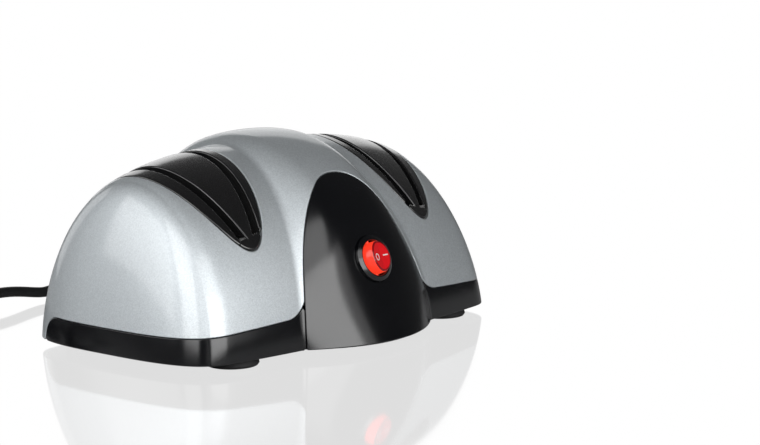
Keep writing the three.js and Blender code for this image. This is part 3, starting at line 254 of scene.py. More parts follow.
silverLook = {
    "dark": (0.52, 0.56, 0.585),
    "light": (0.73, 0.775, 0.80),
    "flakeScale": 2600,
    "cloudScale": 900,
    "flakeShare": 0.6,
    "relief": 0.06,
    "metallic": 0.8,
    "roughness": 0.5,
    "unevenness": 0.08,
    "coat": 0.9,
    "coatRoughness": 0.1,
}
plasticLook = {
    "tone": (0.0015, 0.0017, 0.0024),
    "roughness": 0.17,
    "unevenness": 0.1,
    "coat": 0.5,
    "coatRoughness": 0.17,
    "lightening": 1.6,
    "grainScale": 2400,
    "cloudScale": 60,
    "relief": 0.1,
}
guideLook = {
    **plasticLook,
    "tone": (0.003, 0.003, 0.0033),
    "roughness": 0.24,
    "coat": 0.9,
    "coatRoughness": 0.14,
    "sheen": 0.25,
    "sheenRoughness": 0.35,
}
flakeDepth, grainDepth = 0.0002, 0.0001  # metres


def silverPaint(place, look=silverLook):
    flakes = place.node("TexVoronoi", inputs={"Vector": place, "Scale": look["flakeScale"]}, output="Color")
    flake = flakes.node("SeparateColor", inputs={"Color": flakes}, output="Red")
    cloud = noise(place, look["cloudScale"], 3)
    share = flake * look["flakeShare"] + cloud * (1 - look["flakeShare"])
    return {
        "Base Color": mixed(share, rgb(*look["dark"]), rgb(*look["light"])),
        "Metallic": look["metallic"],
        "Roughness": cloud * look["unevenness"] + look["roughness"],
        "Normal": bumped(flake, look["relief"], flakeDepth),
        "Coat Weight": look["coat"],
        "Coat Roughness": look["coatRoughness"],
    }


def blackPlastic(place, look=plasticLook):
    grain, cloud = noise(place, look["grainScale"], 2), noise(place, look["cloudScale"], 2)
    light = rgb(*(level * look["lightening"] for level in look["tone"]))
    return {
        "Base Color": mixed(cloud, rgb(*look["tone"]), light),
        "Roughness": cloud * look["unevenness"] + (look["roughness"] - look["unevenness"] / 2),
        "Normal": bumped(grain, look["relief"], grainDepth),
        "Coat Weight": look["coat"],
        "Coat Roughness": look["coatRoughness"],
    }


def guidePlastic(place):
    sheen = {"Sheen Weight": guideLook["sheen"], "Sheen Roughness": guideLook["sheenRoughness"]}
    return {**blackPlastic(place, guideLook), **sheen}


def metal(tone, rough, scale=900, spread=0.12, darkening=0.85):
    def paint(place):
        cloud = noise(place, scale, 4)
        colour = mixed(cloud, rgb(*(level * darkening for level in tone)), rgb(*tone))
        return {"Base Color": colour, "Metallic": 1.0, "Roughness": cloud * spread + rough}

    return paint


def matt(tone, rough, scale=700, relief=0.15, darkening=0.75):
    def paint(place):
        cloud = noise(place, scale, 4)
        colour = mixed(cloud, rgb(*(level * darkening for level in tone)), rgb(*tone))
        return {"Base Color": colour, "Roughness": rough, "Normal": bumped(cloud, relief, flakeDepth)}

    return paint


paints = {
    "silverShell": silverPaint,
    "blackPlastic": blackPlastic,
    "guidePlastic": guidePlastic,
    "mark": matt((0.86, 0.84, 0.83), 0.5),
    "rubber": matt((0.016, 0.016, 0.017), 0.75),
    "cordSheath": matt((0.014, 0.014, 0.015), 0.45, 400, 0.05),
    "zinc": metal((0.62, 0.63, 0.60), 0.3),
    "steel": metal((0.55, 0.56, 0.57), 0.22),
    "coreIron": metal((0.20, 0.21, 0.22), 0.45),
    "copper": metal((0.72, 0.34, 0.17), 0.28),
    "brass": metal((0.72, 0.52, 0.24), 0.28),
    "ferrite": matt((0.035, 0.035, 0.037), 0.7),
    "carbon": matt((0.02, 0.02, 0.022), 0.6),
    "coarseGrit": matt((0.38, 0.20, 0.14), 0.95, 1500, 0.9, 0.35),
    "fineGrit": matt((0.72, 0.69, 0.63), 0.92, 2600, 0.6, 0.6),
    "nylon": matt((0.72, 0.70, 0.64), 0.5),
    "board": matt((0.035, 0.16, 0.06), 0.45),
    "sleeve": matt((0.02, 0.035, 0.10), 0.4),
}
finishes = {name: madeMaterial(name, paint) for name, paint in paints.items()}


def dress(piece, finish):
    piece.data.materials.clear()
    piece.data.materials.append(finishes[finish])


print("finishes are mixed")


# The housing surface, from the same sizes as the solids

lobe = {
    "halfLength": 111.5,
    "capLength": 23.6,
    "capPower": 3,
    "endHalfDepth": 60,
    "frontBow": 9,
    "bowHalfSpan": 100,
    "endHeight": 80,
    "rise": 10.1,
    "riseHalfSpan": 95.8,
    "risePower": 2.96,
    "sectionPower": 1.9,
    "endLean": 11.6,
}
dome = {
    "height": 95.5,
    "crown": 2,
    "crestHalfWidth": 23.7,
    "flankFall": 1.1,
    "crestBlend": 8.8,
    "halfDepth": 77.2,
    "reach": 90.1,
    "sectionPower": 2.14,
    "footFlare": 7.5,
    "flareHalfSpan": 50,
    "flareTurn": math.radians(28),
    "flarePower": 1.8,
}
body = {
    "footHeight": 4,
    "seam": 0.2,
    "edgeRadius": 0.4,
    "wallDepth": 2.2,
    "creaseBlend": 1.5,
    "backLean": 5.2,
}


def softMin(a, b, blend):
    share = np.clip(0.5 + (b - a) / (2 * blend), 0, 1)
    return b + (a - b) * share - blend * share * (1 - share)


def softMax(a, b, blend):
    return -softMin(-a, -b, blend)


def archRadius(across, up, depth, height, power):
    return ((across / depth) ** power + (up / height) ** power) ** (-1 / power)


# u runs from -2 to 2, and the ends beyond 1 are the rounded caps; turn runs from the front foot to the back
def housingPoint(u, turn, inset=0.0):
    capStart = lobe["halfLength"] - lobe["capLength"]
    away = np.minimum(np.abs(u), 2)
    capTurn = np.clip(away - 1, 0, 1) * quarterTurn
    capReach = (lobe["capLength"] - inset) * np.sin(capTurn) ** (2 / lobe["capPower"])
    out = np.minimum(away, 1) * capStart + capReach
    endShare = np.clip(np.cos(capTurn), 0, 1) ** (2 / lobe["capPower"])
    across, up = np.abs(np.cos(turn)), np.abs(np.sin(turn))

    bow = 1 - np.minimum(out / lobe["bowHalfSpan"], 1) ** 2
    climb = 1 - np.minimum(out / lobe["riseHalfSpan"], 1) ** lobe["risePower"]
    depth = lobe["endHalfDepth"] + lobe["frontBow"] * bow - inset
    height = lobe["endHeight"] + lobe["rise"] * climb - inset
    lobeReach = endShare * archRadius(across, up, depth, height, lobe["sectionPower"])

    narrowing = 1 - (out / dome["reach"]) ** 2
    sideInset = inset * (math.hypot(1, dome["flankFall"]) - 1) / dome["flankFall"]
    top = dome["height"] - inset
    crest = top - dome["crown"] * (out / dome["crestHalfWidth"]) ** 2
    flank = top - dome["crown"] - dome["flankFall"] * (out - dome["crestHalfWidth"] + sideInset)
    domeHeight = softMin(crest, flank, dome["crestBlend"])
    covered = (narrowing > 0) & (domeHeight > 0) & (out < capStart)
    domeDepth = (dome["halfDepth"] - inset) * np.sqrt(np.where(covered, narrowing, 1))
    domeReach = archRadius(across, up, domeDepth, np.where(covered, domeHeight, 1), dome["sectionPower"])
    # the foot of the dome stands out, in front and at the back
    fall = np.clip(1 - np.minimum(turn, halfTurn - turn) / dome["flareTurn"], 0, 1) ** dome["flarePower"]
    flare = dome["footFlare"] * np.clip(1 - (out / dome["flareHalfSpan"]) ** 2, 0, 1) * fall
    radius = np.where(covered, softMax(lobeReach, domeReach + flare, body["creaseBlend"]), lobeReach)

    z = radius * up
    lean = lobe["endLean"] * (z / lobe["endHeight"]) * (out / lobe["halfLength"]) ** 2
    y = body["backLean"] * (z / dome["height"]) - radius * np.cos(turn)
    return np.stack([np.sign(u) * (out - lean), y, z + body["footHeight"]], -1)


guide = {
    "centreX": 61.3,
    "centreY": 2.7,
    "halfWidth": 23.2,
    "halfLength": 53.2,
    "wallDepth": 2.6,
    "edge": 0.75,
}
slotSizes = {"width": 4.2, "angle": 17.5, "meetHeight": 44.4, "floor": 58, "halfLength": 49.2}
panel = {"halfWidth": 45.7, "height": 78, "sidePower": 1.6, "topPower": 2.2, "backY": -10}
band = {"height": 11.9, "climb": 6.3, "backY": 48, "endRadius": 10, "cornerRadius": 14, "cornerInset": 4.5}
cordHole = {"height": 15, "radius": 4.75}
farOff = 50  # the distance given on the side of the housing that an outline isn't on
tiny = 1e-9  # keeps quotients finite, and tells a radius of zero
tinyLength = 1e-12  # the same for the length of a vector
leastSide, leastRise = 1e-6, 0.01  # keep the powers of both real


# Distances to the outlines that part the housing, negative inside each
def fromGuide(p):
    across = (np.abs(p[..., 0]) - guide["centreX"]) / guide["halfWidth"]
    along = (p[..., 1] - guide["centreY"]) / guide["halfLength"]
    reach = np.hypot(across, along) + tiny
    slope = np.hypot(across / guide["halfWidth"], along / guide["halfLength"]) / reach + tiny
    return (reach - 1) / slope


def fromPanel(p):
    side = np.abs(p[..., 0]) / panel["halfWidth"] + leastSide
    rise = np.maximum(p[..., 2] - body["footHeight"], leastRise) / panel["height"]
    value = side ** panel["topPower"] + rise ** panel["sidePower"] - 1
    slope = np.hypot(
        panel["topPower"] / panel["halfWidth"] * side ** (panel["topPower"] - 1),
        panel["sidePower"] / panel["height"] * rise ** (panel["sidePower"] - 1),
    )
    return np.where(p[..., 1] < panel["backY"], value / slope, farOff)


def bandTop(x):
    return body["footHeight"] + band["height"] + band["climb"] * (1 - x / lobe["halfLength"])


def fromBand(p):
    x, y, z = np.abs(p[..., 0]), p[..., 1], p[..., 2]
    top = bandTop(x)
    backEdge, topEdge = y - band["backY"] + band["endRadius"], z - top + band["endRadius"]
    outside = np.hypot(np.maximum(backEdge, 0), np.maximum(topEdge, 0))
    plain = outside + np.minimum(np.maximum(backEdge, topEdge), 0) - band["endRadius"]
    arcX = panel["halfWidth"] - band["cornerInset"] + band["cornerRadius"]
    arcZ = bandTop(arcX) + band["cornerRadius"]
    nearArc = (x < arcX) & (z < arcZ) & (y < panel["backY"])
    rise = band["cornerRadius"] - np.hypot(arcX - x, arcZ - z)
    return np.where(nearArc, np.minimum(plain, rise), plain)


def fromCordHole(p):
    reach = np.hypot(p[..., 0], p[..., 2] - cordHole["height"])
    return np.where(p[..., 1] > 0, reach - cordHole["radius"], farOff)


def fromSlots(p):
    x, y, z = np.abs(p[..., 0]), p[..., 1], p[..., 2]
    lean = math.radians(slotSizes["angle"])
    offset = (z - slotSizes["meetHeight"]) * math.tan(lean)
    sideways = np.abs(np.abs(x - guide["centreX"]) - offset) * math.cos(lean) - slotSizes["width"] / 2
    return np.maximum(sideways, np.abs(y - guide["centreY"]) - slotSizes["halfLength"])


def normalsOf(place, u, turn, step=2e-3, lastRing=1.98):
    u = np.clip(u, -lastRing, lastRing)
    along = place(u + step, turn) - place(u - step, turn)
    over = place(u, np.minimum(turn + step, halfTurn)) - place(u, np.maximum(turn - step, 0))
    normal = np.cross(along, over)
    return normal / (np.linalg.norm(normal, axis=-1, keepdims=True) + tinyLength)


# A part of the surface where field is positive, trimmed along the field's zero line by halving steps
def trimmedSkin(place, field, columns, rows, halvings=20):
    u, turn = np.meshgrid(columns, rows, indexing="ij")
    inside = field(place(u, turn)) > 0
    ids = np.full(inside.shape, -1)
    ids[inside] = np.arange(inside.sum())
    us, turns = [u[inside]], [turn[inside]]
    crossings = {}
    count = int(inside.sum())
    for axis in (0, 1):
        first = inside[:-1, :] if axis == 0 else inside[:, :-1]
        second = inside[1:, :] if axis == 0 else inside[:, 1:]
        i, j = np.nonzero(first != second)
        far = (i + (axis == 0), j + (axis == 1))
        low, high = np.zeros(len(i)), np.ones(len(i))
        startsIn = inside[i, j]
        for _ in range(halvings):
            middle = (low + high) / 2
            cu = u[i, j] + (u[far] - u[i, j]) * middle
            ct = turn[i, j] + (turn[far] - turn[i, j]) * middle
            same = (field(place(cu, ct)) > 0) == startsIn
            low, high = np.where(same, middle, low), np.where(same, high, middle)
        us.append(u[i, j] + (u[far] - u[i, j]) * high)
        turns.append(turn[i, j] + (turn[far] - turn[i, j]) * high)
        for k in range(len(i)):
            crossings[(axis, int(i[k]), int(j[k]))] = count + k
        count += len(i)
    faces, rim = [], []
    touched = inside[:-1, :-1] | inside[1:, :-1] | inside[1:, 1:] | inside[:-1, 1:]
    for i, j in zip(*(index.tolist() for index in np.nonzero(touched))):
        corners = ((i, j), (i + 1, j), (i + 1, j + 1), (i, j + 1))
        edges = ((0, i, j), (1, i + 1, j), (0, i, j + 1), (1, i, j))
        ring, leaves = [], []
        for k in range(4):
            here, there = inside[corners[k]], inside[corners[(k + 1) % 4]]
            if here:
                ring.append(int(ids[corners[k]]))
            if here != there:
                ring.append(crossings[edges[k]])
                if here:
                    leaves.append(len(ring) - 1)
        faces.append(ring)
        rim += [(ring[at], ring[(at + 1) % len(ring)]) for at in leaves]
    return np.concatenate(us), np.concatenate(turns), faces, rim


edgeTurns = [math.radians(angle) for angle in (30, 60, 90)]  # the rings of a rolled edge
probe = 0.02  # how far apart a field is read for its slope, in each direction
leastSlope = 0.4  # a flatter field isn't allowed to draw the edge out any further
skew = np.array([0.31, 0.52, 0.80])  # any direction that no normal here has


# The skin with its edges rolled inwards and carried down as a wall; wallEnd may lead the wall elsewhere
def makeSkin(
    name, place, field, columns, rows, depth=body["wallDepth"], wallEnd=None, radius=body["edgeRadius"]
):
    u, turn, faces, rim = trimmedSkin(place, lambda p: field(p) - radius, columns, rows)
    points, normals = place(u, turn), normalsOf(place, u, turn)
    edge = sorted({vertex for pair in rim for vertex in pair})
    at = {vertex: k for k, vertex in enumerate(edge)}
    base, up = points[edge], normals[edge]
    first = np.cross(up, skew)
    first /= np.linalg.norm(first, axis=-1, keepdims=True)
    second = np.cross(up, first)
    gradient = sum(
        (field(base + probe * axis) - field(base - probe * axis))[:, None] * axis
        for axis in (first, second)
    )
    steepness = np.linalg.norm(gradient, axis=-1, keepdims=True) + tinyLength
    outward = -gradient / steepness
    reach = radius / np.clip(steepness / (2 * probe), leastSlope, 1)
    rings, ringNormals = [], []
    for angle in edgeTurns:
        rings.append(base + math.sin(angle) * reach * outward - (1 - math.cos(angle)) * radius * up)
        ringNormals.append(math.sin(angle) * outward + math.cos(angle) * up)
    if wallEnd is None:
        rings.append(rings[-1] - depth * up)
    else:
        rings.append(wallEnd(rings[-1], up, depth))
    ringNormals.append(outward)
    starts = [len(points) + k * len(edge) for k in range(len(rings))]
    strips = [edge] + [range(start, start + len(edge)) for start in starts]
    for inner, outer in zip(strips, strips[1:]):
        faces += [(inner[at[b]], inner[at[a]], outer[at[a]], outer[at[b]]) for a, b in rim]
    points = np.concatenate([points, *rings])
    normals = np.concatenate([normals, *ringNormals])
    return meshPiece(name, points, faces, normals)


def meshPiece(name, points, faces, normals=None):
    mesh = bpy.data.meshes.new(name)
    mesh.from_pydata((np.asarray(points) * mm).tolist(), [], faces)
    mesh.shade_smooth()
    if normals is not None:
        mesh.normals_split_custom_set_from_vertices(np.asarray(normals).tolist())
    piece = bpy.data.objects.new(name, mesh)
    bpy.context.scene.collection.objects.link(piece)
    return piece


seamHalf = body["seam"] / 2
tipColumns = [0.974, 0.983, 0.99, 0.995, 0.998, 1]  # closer together where the caps end
# The grid lines that each piece is cut from: first, last and how many
capColumns = 1 + np.concatenate([np.linspace(0, 1, 27)[1:-1], tipColumns])
allColumns = np.concatenate([-capColumns[::-1], np.linspace(-1, 1, 181), capColumns])
allRows = np.linspace(0, halfTurn, 151)
panelColumns, panelRows = np.linspace(-0.56, 0.56, 141), np.linspace(0, 1.75, 141)
guideColumns, guideRows = np.linspace(0.36, 1.08, 151), np.linspace(0.55, 2.75, 181)


def shellField(p):
    fields = [fromGuide(p), fromPanel(p), fromBand(p), fromCordHole(p)]
    return np.minimum(np.min(fields, axis=0) - seamHalf, p[..., 2] - body["footHeight"])


def bandPartField(p):
    return np.minimum(np.minimum(-fromBand(p), fromPanel(p)) - seamHalf, p[..., 2] - body["footHeight"])


upperShell = makeSkin("upperShell", housingPoint, shellField, allColumns, allRows)
dress(upperShell, "silverShell")
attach(upperShell, "housing")
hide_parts("upper_shell")

baseBand = makeSkin("baseBand", housingPoint, bandPartField, allColumns, allRows)
dress(baseBand, "blackPlastic")
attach(baseBand, "housing")
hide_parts("base_tray")
print("shell and band are trimmed")


# The switch panel, with a round hole for the switch

switchPlace = {
    "seat": np.array([0.0, -69.947, 41.9]),
    "up": np.array([0.0, 0.37075, 0.92873]),
    "out": np.array([0.0, -0.92873, 0.37075]),
    "holeRadius": 11.62,
}


def panelPartField(p):
    offset = p - switchPlace["seat"]
    reach = np.hypot(offset[..., 0], offset @ switchPlace["up"])
    hole = np.where(p[..., 1] < 0, reach - switchPlace["holeRadius"], farOff)
    fields = [-fromPanel(p) - seamHalf, hole, p[..., 2] - body["footHeight"]]
    return np.min(fields, axis=0)


frontPanel = makeSkin("frontPanel", housingPoint, panelPartField, panelColumns, panelRows)
dress(frontPanel, "blackPlastic")
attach(frontPanel, "housing")
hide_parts("front_panel")


# Blade guides: flush with the lobes, and each slot's wall runs down its own slant

def guidePartField(p):
    return np.minimum(-fromGuide(p) - seamHalf, fromSlots(p))


def guideWallEnd(points, up, depth):
    lean = math.radians(slotSizes["angle"])
    side = np.sign(points[:, 0])
    fromMiddle = np.abs(points[:, 0]) - guide["centreX"]
    inSlot = fromSlots(points) < guide["edge"] / 2
    drop = points[:, 2] - slotSizes["floor"]
    still = np.zeros(len(points))
    along = np.stack([-side * np.sign(fromMiddle) * math.tan(lean), still, still - 1], -1)
    return np.where(inSlot[:, None], points + along * drop[:, None], points - depth * up)


guideWalls = (guide["wallDepth"], guideWallEnd, guide["edge"])
for guideName, columns in (("Left", -guideColumns[::-1]), ("Right", guideColumns)):
    name = "bladeGuide" + guideName
    bladeGuide = makeSkin(name, housingPoint, guidePartField, columns, guideRows, *guideWalls)
    dress(bladeGuide, "guidePlastic")
    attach(bladeGuide, "housing")
    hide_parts("blade_guide_" + guideName.lower())
print("panel and guides are trimmed")


# Turned and extruded pieces

def direction(vector):
    return vector / (np.linalg.norm(vector) + tinyLength)


# A profile of (radius, height, fillet) with its corners rounded
def rounded(profile, steps=5):
    done = []
    for k, (r, h, *fillet) in enumerate(profile):
        at = np.array([r, h], float)
        if not fillet:
            done.append(at)
            continue
        before = direction(np.array(profile[k - 1][:2], float) - at)
        after = direction(np.array(profile[k + 1][:2], float) - at)
        half = math.acos(float(np.clip(before @ after, -1, 1))) / 2
        middle = at + direction(before + after) * fillet[0] / math.sin(half)
        start, end = (at + way * fillet[0] / math.tan(half) for way in (before, after))
        first, last = (math.atan2(*(place - middle)[::-1]) for place in (start, end))
        sweep = (last - first + halfTurn) % fullTurn - halfTurn
        for step in range(steps + 1):
            angle = first + sweep * step / steps
            done.append(middle + fillet[0] * np.array([math.cos(angle), math.sin(angle)]))
    return done


def frameOf(right, up, out, seat):
    return np.array([right, up, out, seat], float)


standing = frameOf((1, 0, 0), (0, 1, 0), (0, 0, 1), (0, 0, 0))


def placed(points, axes):
    points = np.asarray(points, float)
    return points @ axes[:3] + axes[3]


def moved(axes, x=0.0, y=0.0, z=0.0):
    return np.concatenate([axes[:3], [axes[3] + x * axes[0] + y * axes[1] + z * axes[2]]])


# Turns a profile round the axes' third direction; bumps may raise the points afterwards
def turned(profile, axes=standing, sides=72, bumps=None):
    rings, faces, points = rounded(profile), [], []
    angles = np.arange(sides) * fullTurn / sides
    starts = []
    for r, h in rings:
        starts.append(len(points))
        if r < tiny:
            points.append((0, 0, h))
        else:
            points += [(r * math.cos(a), r * math.sin(a), h) for a in angles]
    for k in range(len(rings) - 1):
        low, high = starts[k], starts[k + 1]
        pointed, tipped = rings[k][0] < tiny, rings[k + 1][0] < tiny
        for j in range(sides):
            n = (j + 1) % sides
            ring = [low if pointed else low + j, low if pointed else low + n]
            ring += [high if tipped else high + n, high if tipped else high + j]
            face = [v for i, v in enumerate(ring) if v != ring[i - 1]]
            if len(face) > 2:
                faces.append(face)
    points = np.array(points, float)
    if bumps is not None:
        points = bumps(points)
    return placed(points, axes), faces


# Pushes outlines along the axes' third direction, half to each side of its zero, with small bevels;
# the outlines after the first are holes
def extruded(outlines, depth, edge, axes=standing):
    curve = bpy.data.curves.new("outline", "CURVE")
    curve.dimensions = "2D"
    curve.fill_mode = "BOTH"
    curve.extrude = depth / 2 - edge
    curve.bevel_depth = edge
    curve.bevel_resolution = 1
    curve.offset = -edge
    for outline in outlines:
        spline = curve.splines.new("POLY")
        spline.points.add(len(outline) - 1)
        for point, (x, y) in zip(spline.points, outline):
            point.co = (x, y, 0, 1)
        spline.use_cyclic_u = True
    shape = bpy.data.objects.new("outline", curve)
    bpy.context.scene.collection.objects.link(shape)
    evaluated = shape.evaluated_get(bpy.context.evaluated_depsgraph_get())
    mesh = bpy.data.meshes.new_from_object(evaluated)
    points = [tuple(vertex.co) for vertex in mesh.vertices]
    faces = [list(face.vertices) for face in mesh.polygons]
    bpy.data.objects.remove(shape)
    bpy.data.meshes.remove(mesh)
    return placed(points, axes), faces


def joined(*shapes):
    points, faces = [], []
    for shapePoints, shapeFaces in shapes:
        start = sum(len(part) for part in points)
        points.append(np.asarray(shapePoints))
        faces += [[start + v for v in face] for face in shapeFaces]
    return np.concatenate(points), faces


def finePiece(name, shape, finish, bodyName, nodes=(), sharp=32):
    piece = meshPiece(name, *shape)
    piece.data.set_sharp_from_angle(angle=math.radians(sharp))
    dress(piece, finish)
    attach(piece, bodyName)
    if nodes:
        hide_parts(*nodes)
    return piece


def circle(radius, x=0.0, y=0.0, sides=48):
    angles = [fullTurn * k / sides for k in range(sides)]
    return [(x + radius * math.cos(angle), y + radius * math.sin(angle)) for angle in angles]


def rectangle(halfWidth, halfHeight, corner, x=0.0, y=0.0, steps=6):
    outline = []
    for k, (right, up) in enumerate(((1, 1), (-1, 1), (-1, -1), (1, -1))):
        middleX, middleY = x + right * (halfWidth - corner), y + up * (halfHeight - corner)
        for step in range(steps + 1):
            angle = (k + step / steps) * quarterTurn
            outline.append((middleX + corner * math.cos(angle), middleY + corner * math.sin(angle)))
    return outline


# Rocker switch: a round bezel with a bevel, and a red rocker that leans, its right end pressed in

switchAxes = frameOf((1, 0, 0), switchPlace["up"], switchPlace["out"], switchPlace["seat"])
# flange, pocket and body are radii; thickness and lip are the bezel's height inside and outside its bevel
switchSizes = {
    "flange": 11.5,
    "bevel": 1.9,
    "thickness": 2.1,
    "lip": 1.1,
    "skirt": 2.2,
    "pocket": 8.9,
    "pocketDepth": 5.5,
    "body": 9.9,
    "bodyLength": 13,
    "baseHalf": 7,
    "baseLength": 6,
    "baseCorner": 1,
    "baseBevel": 0.3,
}
s = switchSizes
switchBody = turned(
    [
        (0, -s["pocketDepth"]),
        (s["pocket"], -s["pocketDepth"], 0.4),
        (s["pocket"], s["thickness"], 0.35),
        (s["flange"] - s["bevel"], s["thickness"], 0.3),
        (s["flange"], s["lip"], 0.25),
        (s["flange"], -s["skirt"]),
        (s["body"], -s["skirt"]),
        (s["body"], -s["bodyLength"], 0.5),
        (0, -s["bodyLength"]),
    ],
    switchAxes,
    120,
)
switchBase = extruded(
    [rectangle(s["baseHalf"], s["baseHalf"], s["baseCorner"])],
    s["baseLength"],
    s["baseBevel"],
    moved(switchAxes, z=-s["bodyLength"] - s["baseLength"] / 2),
)
switchShape = joined(switchBody, switchBase)
finePiece("switchBezel", switchShape, "blackPlastic", "housing", ["switch_housing"], 50)

rockerSizes = {
    "foot": 6.2,
    "radius": 8.1,
    "rim": 7.7,
    "height": 6.2,
    "valley": 0.8,
    "depth": 3.4,
    "edge": 0.85,
    "faceRings": (6.4, 5.5, 4.6, 3.6, 2.6, 1.6, 0.8, 0),
    "tilt": math.radians(11),
    "pivotDepth": 1,
    "pin": 0.8,
    "pinReach": 1.05,
}
redLook = {
    "face": ((0.62, 0.006, 0.010), (0.74, 0.009, 0.013)),
    # painted shade: a dark line over the rounded edge of the face, where the edge turns away from the light
    "shadeLine": (0.16, 0.001, 0.002),
    # painted glow: emission that stands in for light on the face and on the side wall
    "glow": ((0.05, 0, 0.001), (0.75, 0.045, 0.015)),  # of the face and of the side wall
    "shadeLineInset": 1.3,
    "shadeLineSoftness": 0.5,
    "wallSoftness": 0.12,
    "cloudScale": 160,
}
r = rockerSizes
pivot = switchPlace["seat"] - r["pivotDepth"] * switchPlace["out"]
right = np.array([1.0, 0, 0])
tiltedRight = right * math.cos(r["tilt"]) - switchPlace["out"] * math.sin(r["tilt"])
tiltedOut = right * math.sin(r["tilt"]) + switchPlace["out"] * math.cos(r["tilt"])
rockerAxes = frameOf(tiltedRight, switchPlace["up"], tiltedOut, pivot)


# The face falls from both ends to a softly rounded valley in the middle
def rockerTop(x, softness=0.2):
    return r["valley"] * (np.sqrt(x * x + softness) / r["rim"] - 1)


fade = 0.6  # height over which the wall takes up the shape of the face


def dished(points):
    share = np.clip((points[:, 2] - r["height"] + r["edge"] + fade) / fade, 0, 1)
    points[:, 2] += share * rockerTop(points[:, 0])
    return points


rockerRings = [(0, -r["depth"]), (r["foot"], -r["depth"], 0.3), (r["radius"], 0, 0.6)]
rockerRings += [(r["rim"] + 0.07, r["height"] - r["edge"] - fade), (r["rim"], r["height"], r["edge"])]
rockerRings += [(radius, r["height"]) for radius in r["faceRings"]]
rockerBody = turned(rockerRings, rockerAxes, 120, dished)
pinAxes = frameOf(tiltedOut, tiltedRight, switchPlace["up"], pivot)
pinEnd = r["radius"] + r["pinReach"]
pinProfile = [(0, -pinEnd), (r["pin"], -pinEnd, 0.2), (r["pin"], pinEnd, 0.2), (0, pinEnd)]
rockerPin = turned(pinProfile, pinAxes, 24)


# Red plastic: a painted glow, strong on the side wall and faint on the face, stands in for light falling on
# the rocker, and a painted shade line darkens the rounded edge of the face
def redPlastic(place):
    fromPivot = place.node("VectorMath", {"operation": "SUBTRACT"}, {0: place, 1: tuple(pivot * mm)})
    across, along = (
        place.node("VectorMath", {"operation": "DOT_PRODUCT"}, {0: fromPivot, 1: axis}, output="Value")
        for axis in (tuple(tiltedRight / mm), tuple(switchPlace["up"] / mm))
    )
    reach = place.calculated("SQRT", across * across + along * along)

    def between(low, high):
        return place.node("MapRange", inputs={"Value": reach, "From Min": low, "From Max": high})

    # painted shade line over the rounded edge of the face, up to where the side wall begins
    shadeLineStart = r["rim"] - redLook["shadeLineInset"]
    wall = between(r["rim"] - redLook["wallSoftness"], r["rim"])
    shadeLine = between(shadeLineStart, shadeLineStart + redLook["shadeLineSoftness"]) - wall
    face = mixed(noise(place, redLook["cloudScale"], 1), *(rgb(*tone) for tone in redLook["face"]))
    return {
        "Base Color": mixed(shadeLine, face, rgb(*redLook["shadeLine"])),
        "Roughness": 0.2,
        "Coat Weight": 0.4,
        "Coat Roughness": 0.08,
        # the painted glow, strong on the side wall and faint on the face
        "Emission Color": mixed(wall, *(rgb(*tone) for tone in redLook["glow"])),
        "Emission Strength": 1.0,
    }


finishes["redPlastic"] = madeMaterial("redPlastic", redPlastic)
finePiece("redRocker", joined(rockerBody, rockerPin), "redPlastic", "rocker", ["rocker"], 40)


markSizes = {
    "thickness": 0.12,
    "bevel": 0.03,
    "lift": 0.05,
    "off": (-3.9, -0.3),
    "offRadii": (1.75, 1.3),
    "on": (3.6, 0.2),
    "onHalves": (1.9, 0.3),
}


# The off and on marks, printed slightly proud of the face
def markOn(name, outlines, place):
    flat, faces = extruded(outlines, markSizes["thickness"], markSizes["bevel"])
    flat[:, :2] += place
    flat[:, 2] += r["height"] + rockerTop(flat[:, 0]) + markSizes["lift"]
    return finePiece(name, (placed(flat, rockerAxes), faces), "mark", "rocker")


markOn("offMark", [circle(radius) for radius in markSizes["offRadii"]], markSizes["off"])
markOn("onMark", [rectangle(*markSizes["onHalves"], 0.1)], markSizes["on"])
print("switch is built")


# Feet, and the floor of the tray with a post round each base screw

footSizes = {
    "radius": 12.7,
    "chamfer": 0.8,
    "rim": 3.5,
    "hollow": 0.5,
    "x": 76.4,
    "y": 48.8,
    "stem": 3,
    "stemTop": 8,
}
postSizes = {"hole": 3.4, "radius": 4.4, "seat": 6, "x": 92, "y": 38}
f = footSizes
footProfile = [
    (0, f["hollow"]),
    (f["radius"] - f["rim"] - f["hollow"], f["hollow"], 0.3),
    (f["radius"] - f["rim"], 0, 0.2),
    (f["radius"] - f["chamfer"], 0, 0.4),
    (f["radius"], f["chamfer"] + 0.3, 0.4),
    (f["radius"] - f["chamfer"], body["footHeight"] - seamHalf, 0.3),
    (f["stem"], body["footHeight"] - seamHalf),
    (f["stem"], f["stemTop"], 0.3),
    (0, f["stemTop"]),
]
corners = {"front_left": (-1, -1), "front_right": (1, -1), "rear_left": (-1, 1), "rear_right": (1, 1)}
for corner, (x, y) in corners.items():
    footName = "foot" + corner.title().replace("_", "")
    foot = turned(footProfile, moved(standing, x * f["x"], y * f["y"]), 96)
    finePiece(footName, foot, "rubber", "housing", ["foot_" + corner])

floorSizes = {"thickness": 2.5, "inset": 2.5, "bevel": 0.2, "turn": 0.012, "points": 261}


# Along the front of the housing from left to right and back along its rear, just above the foot
def floorOutline():
    u = np.linspace(-2, 2, floorSizes["points"])
    front = housingPoint(u, np.full(u.shape, floorSizes["turn"]), floorSizes["inset"])
    back = housingPoint(u, np.full(u.shape, halfTurn - floorSizes["turn"]), floorSizes["inset"])
    return [tuple(place[:2]) for place in (*front, *back[-2:0:-1])]


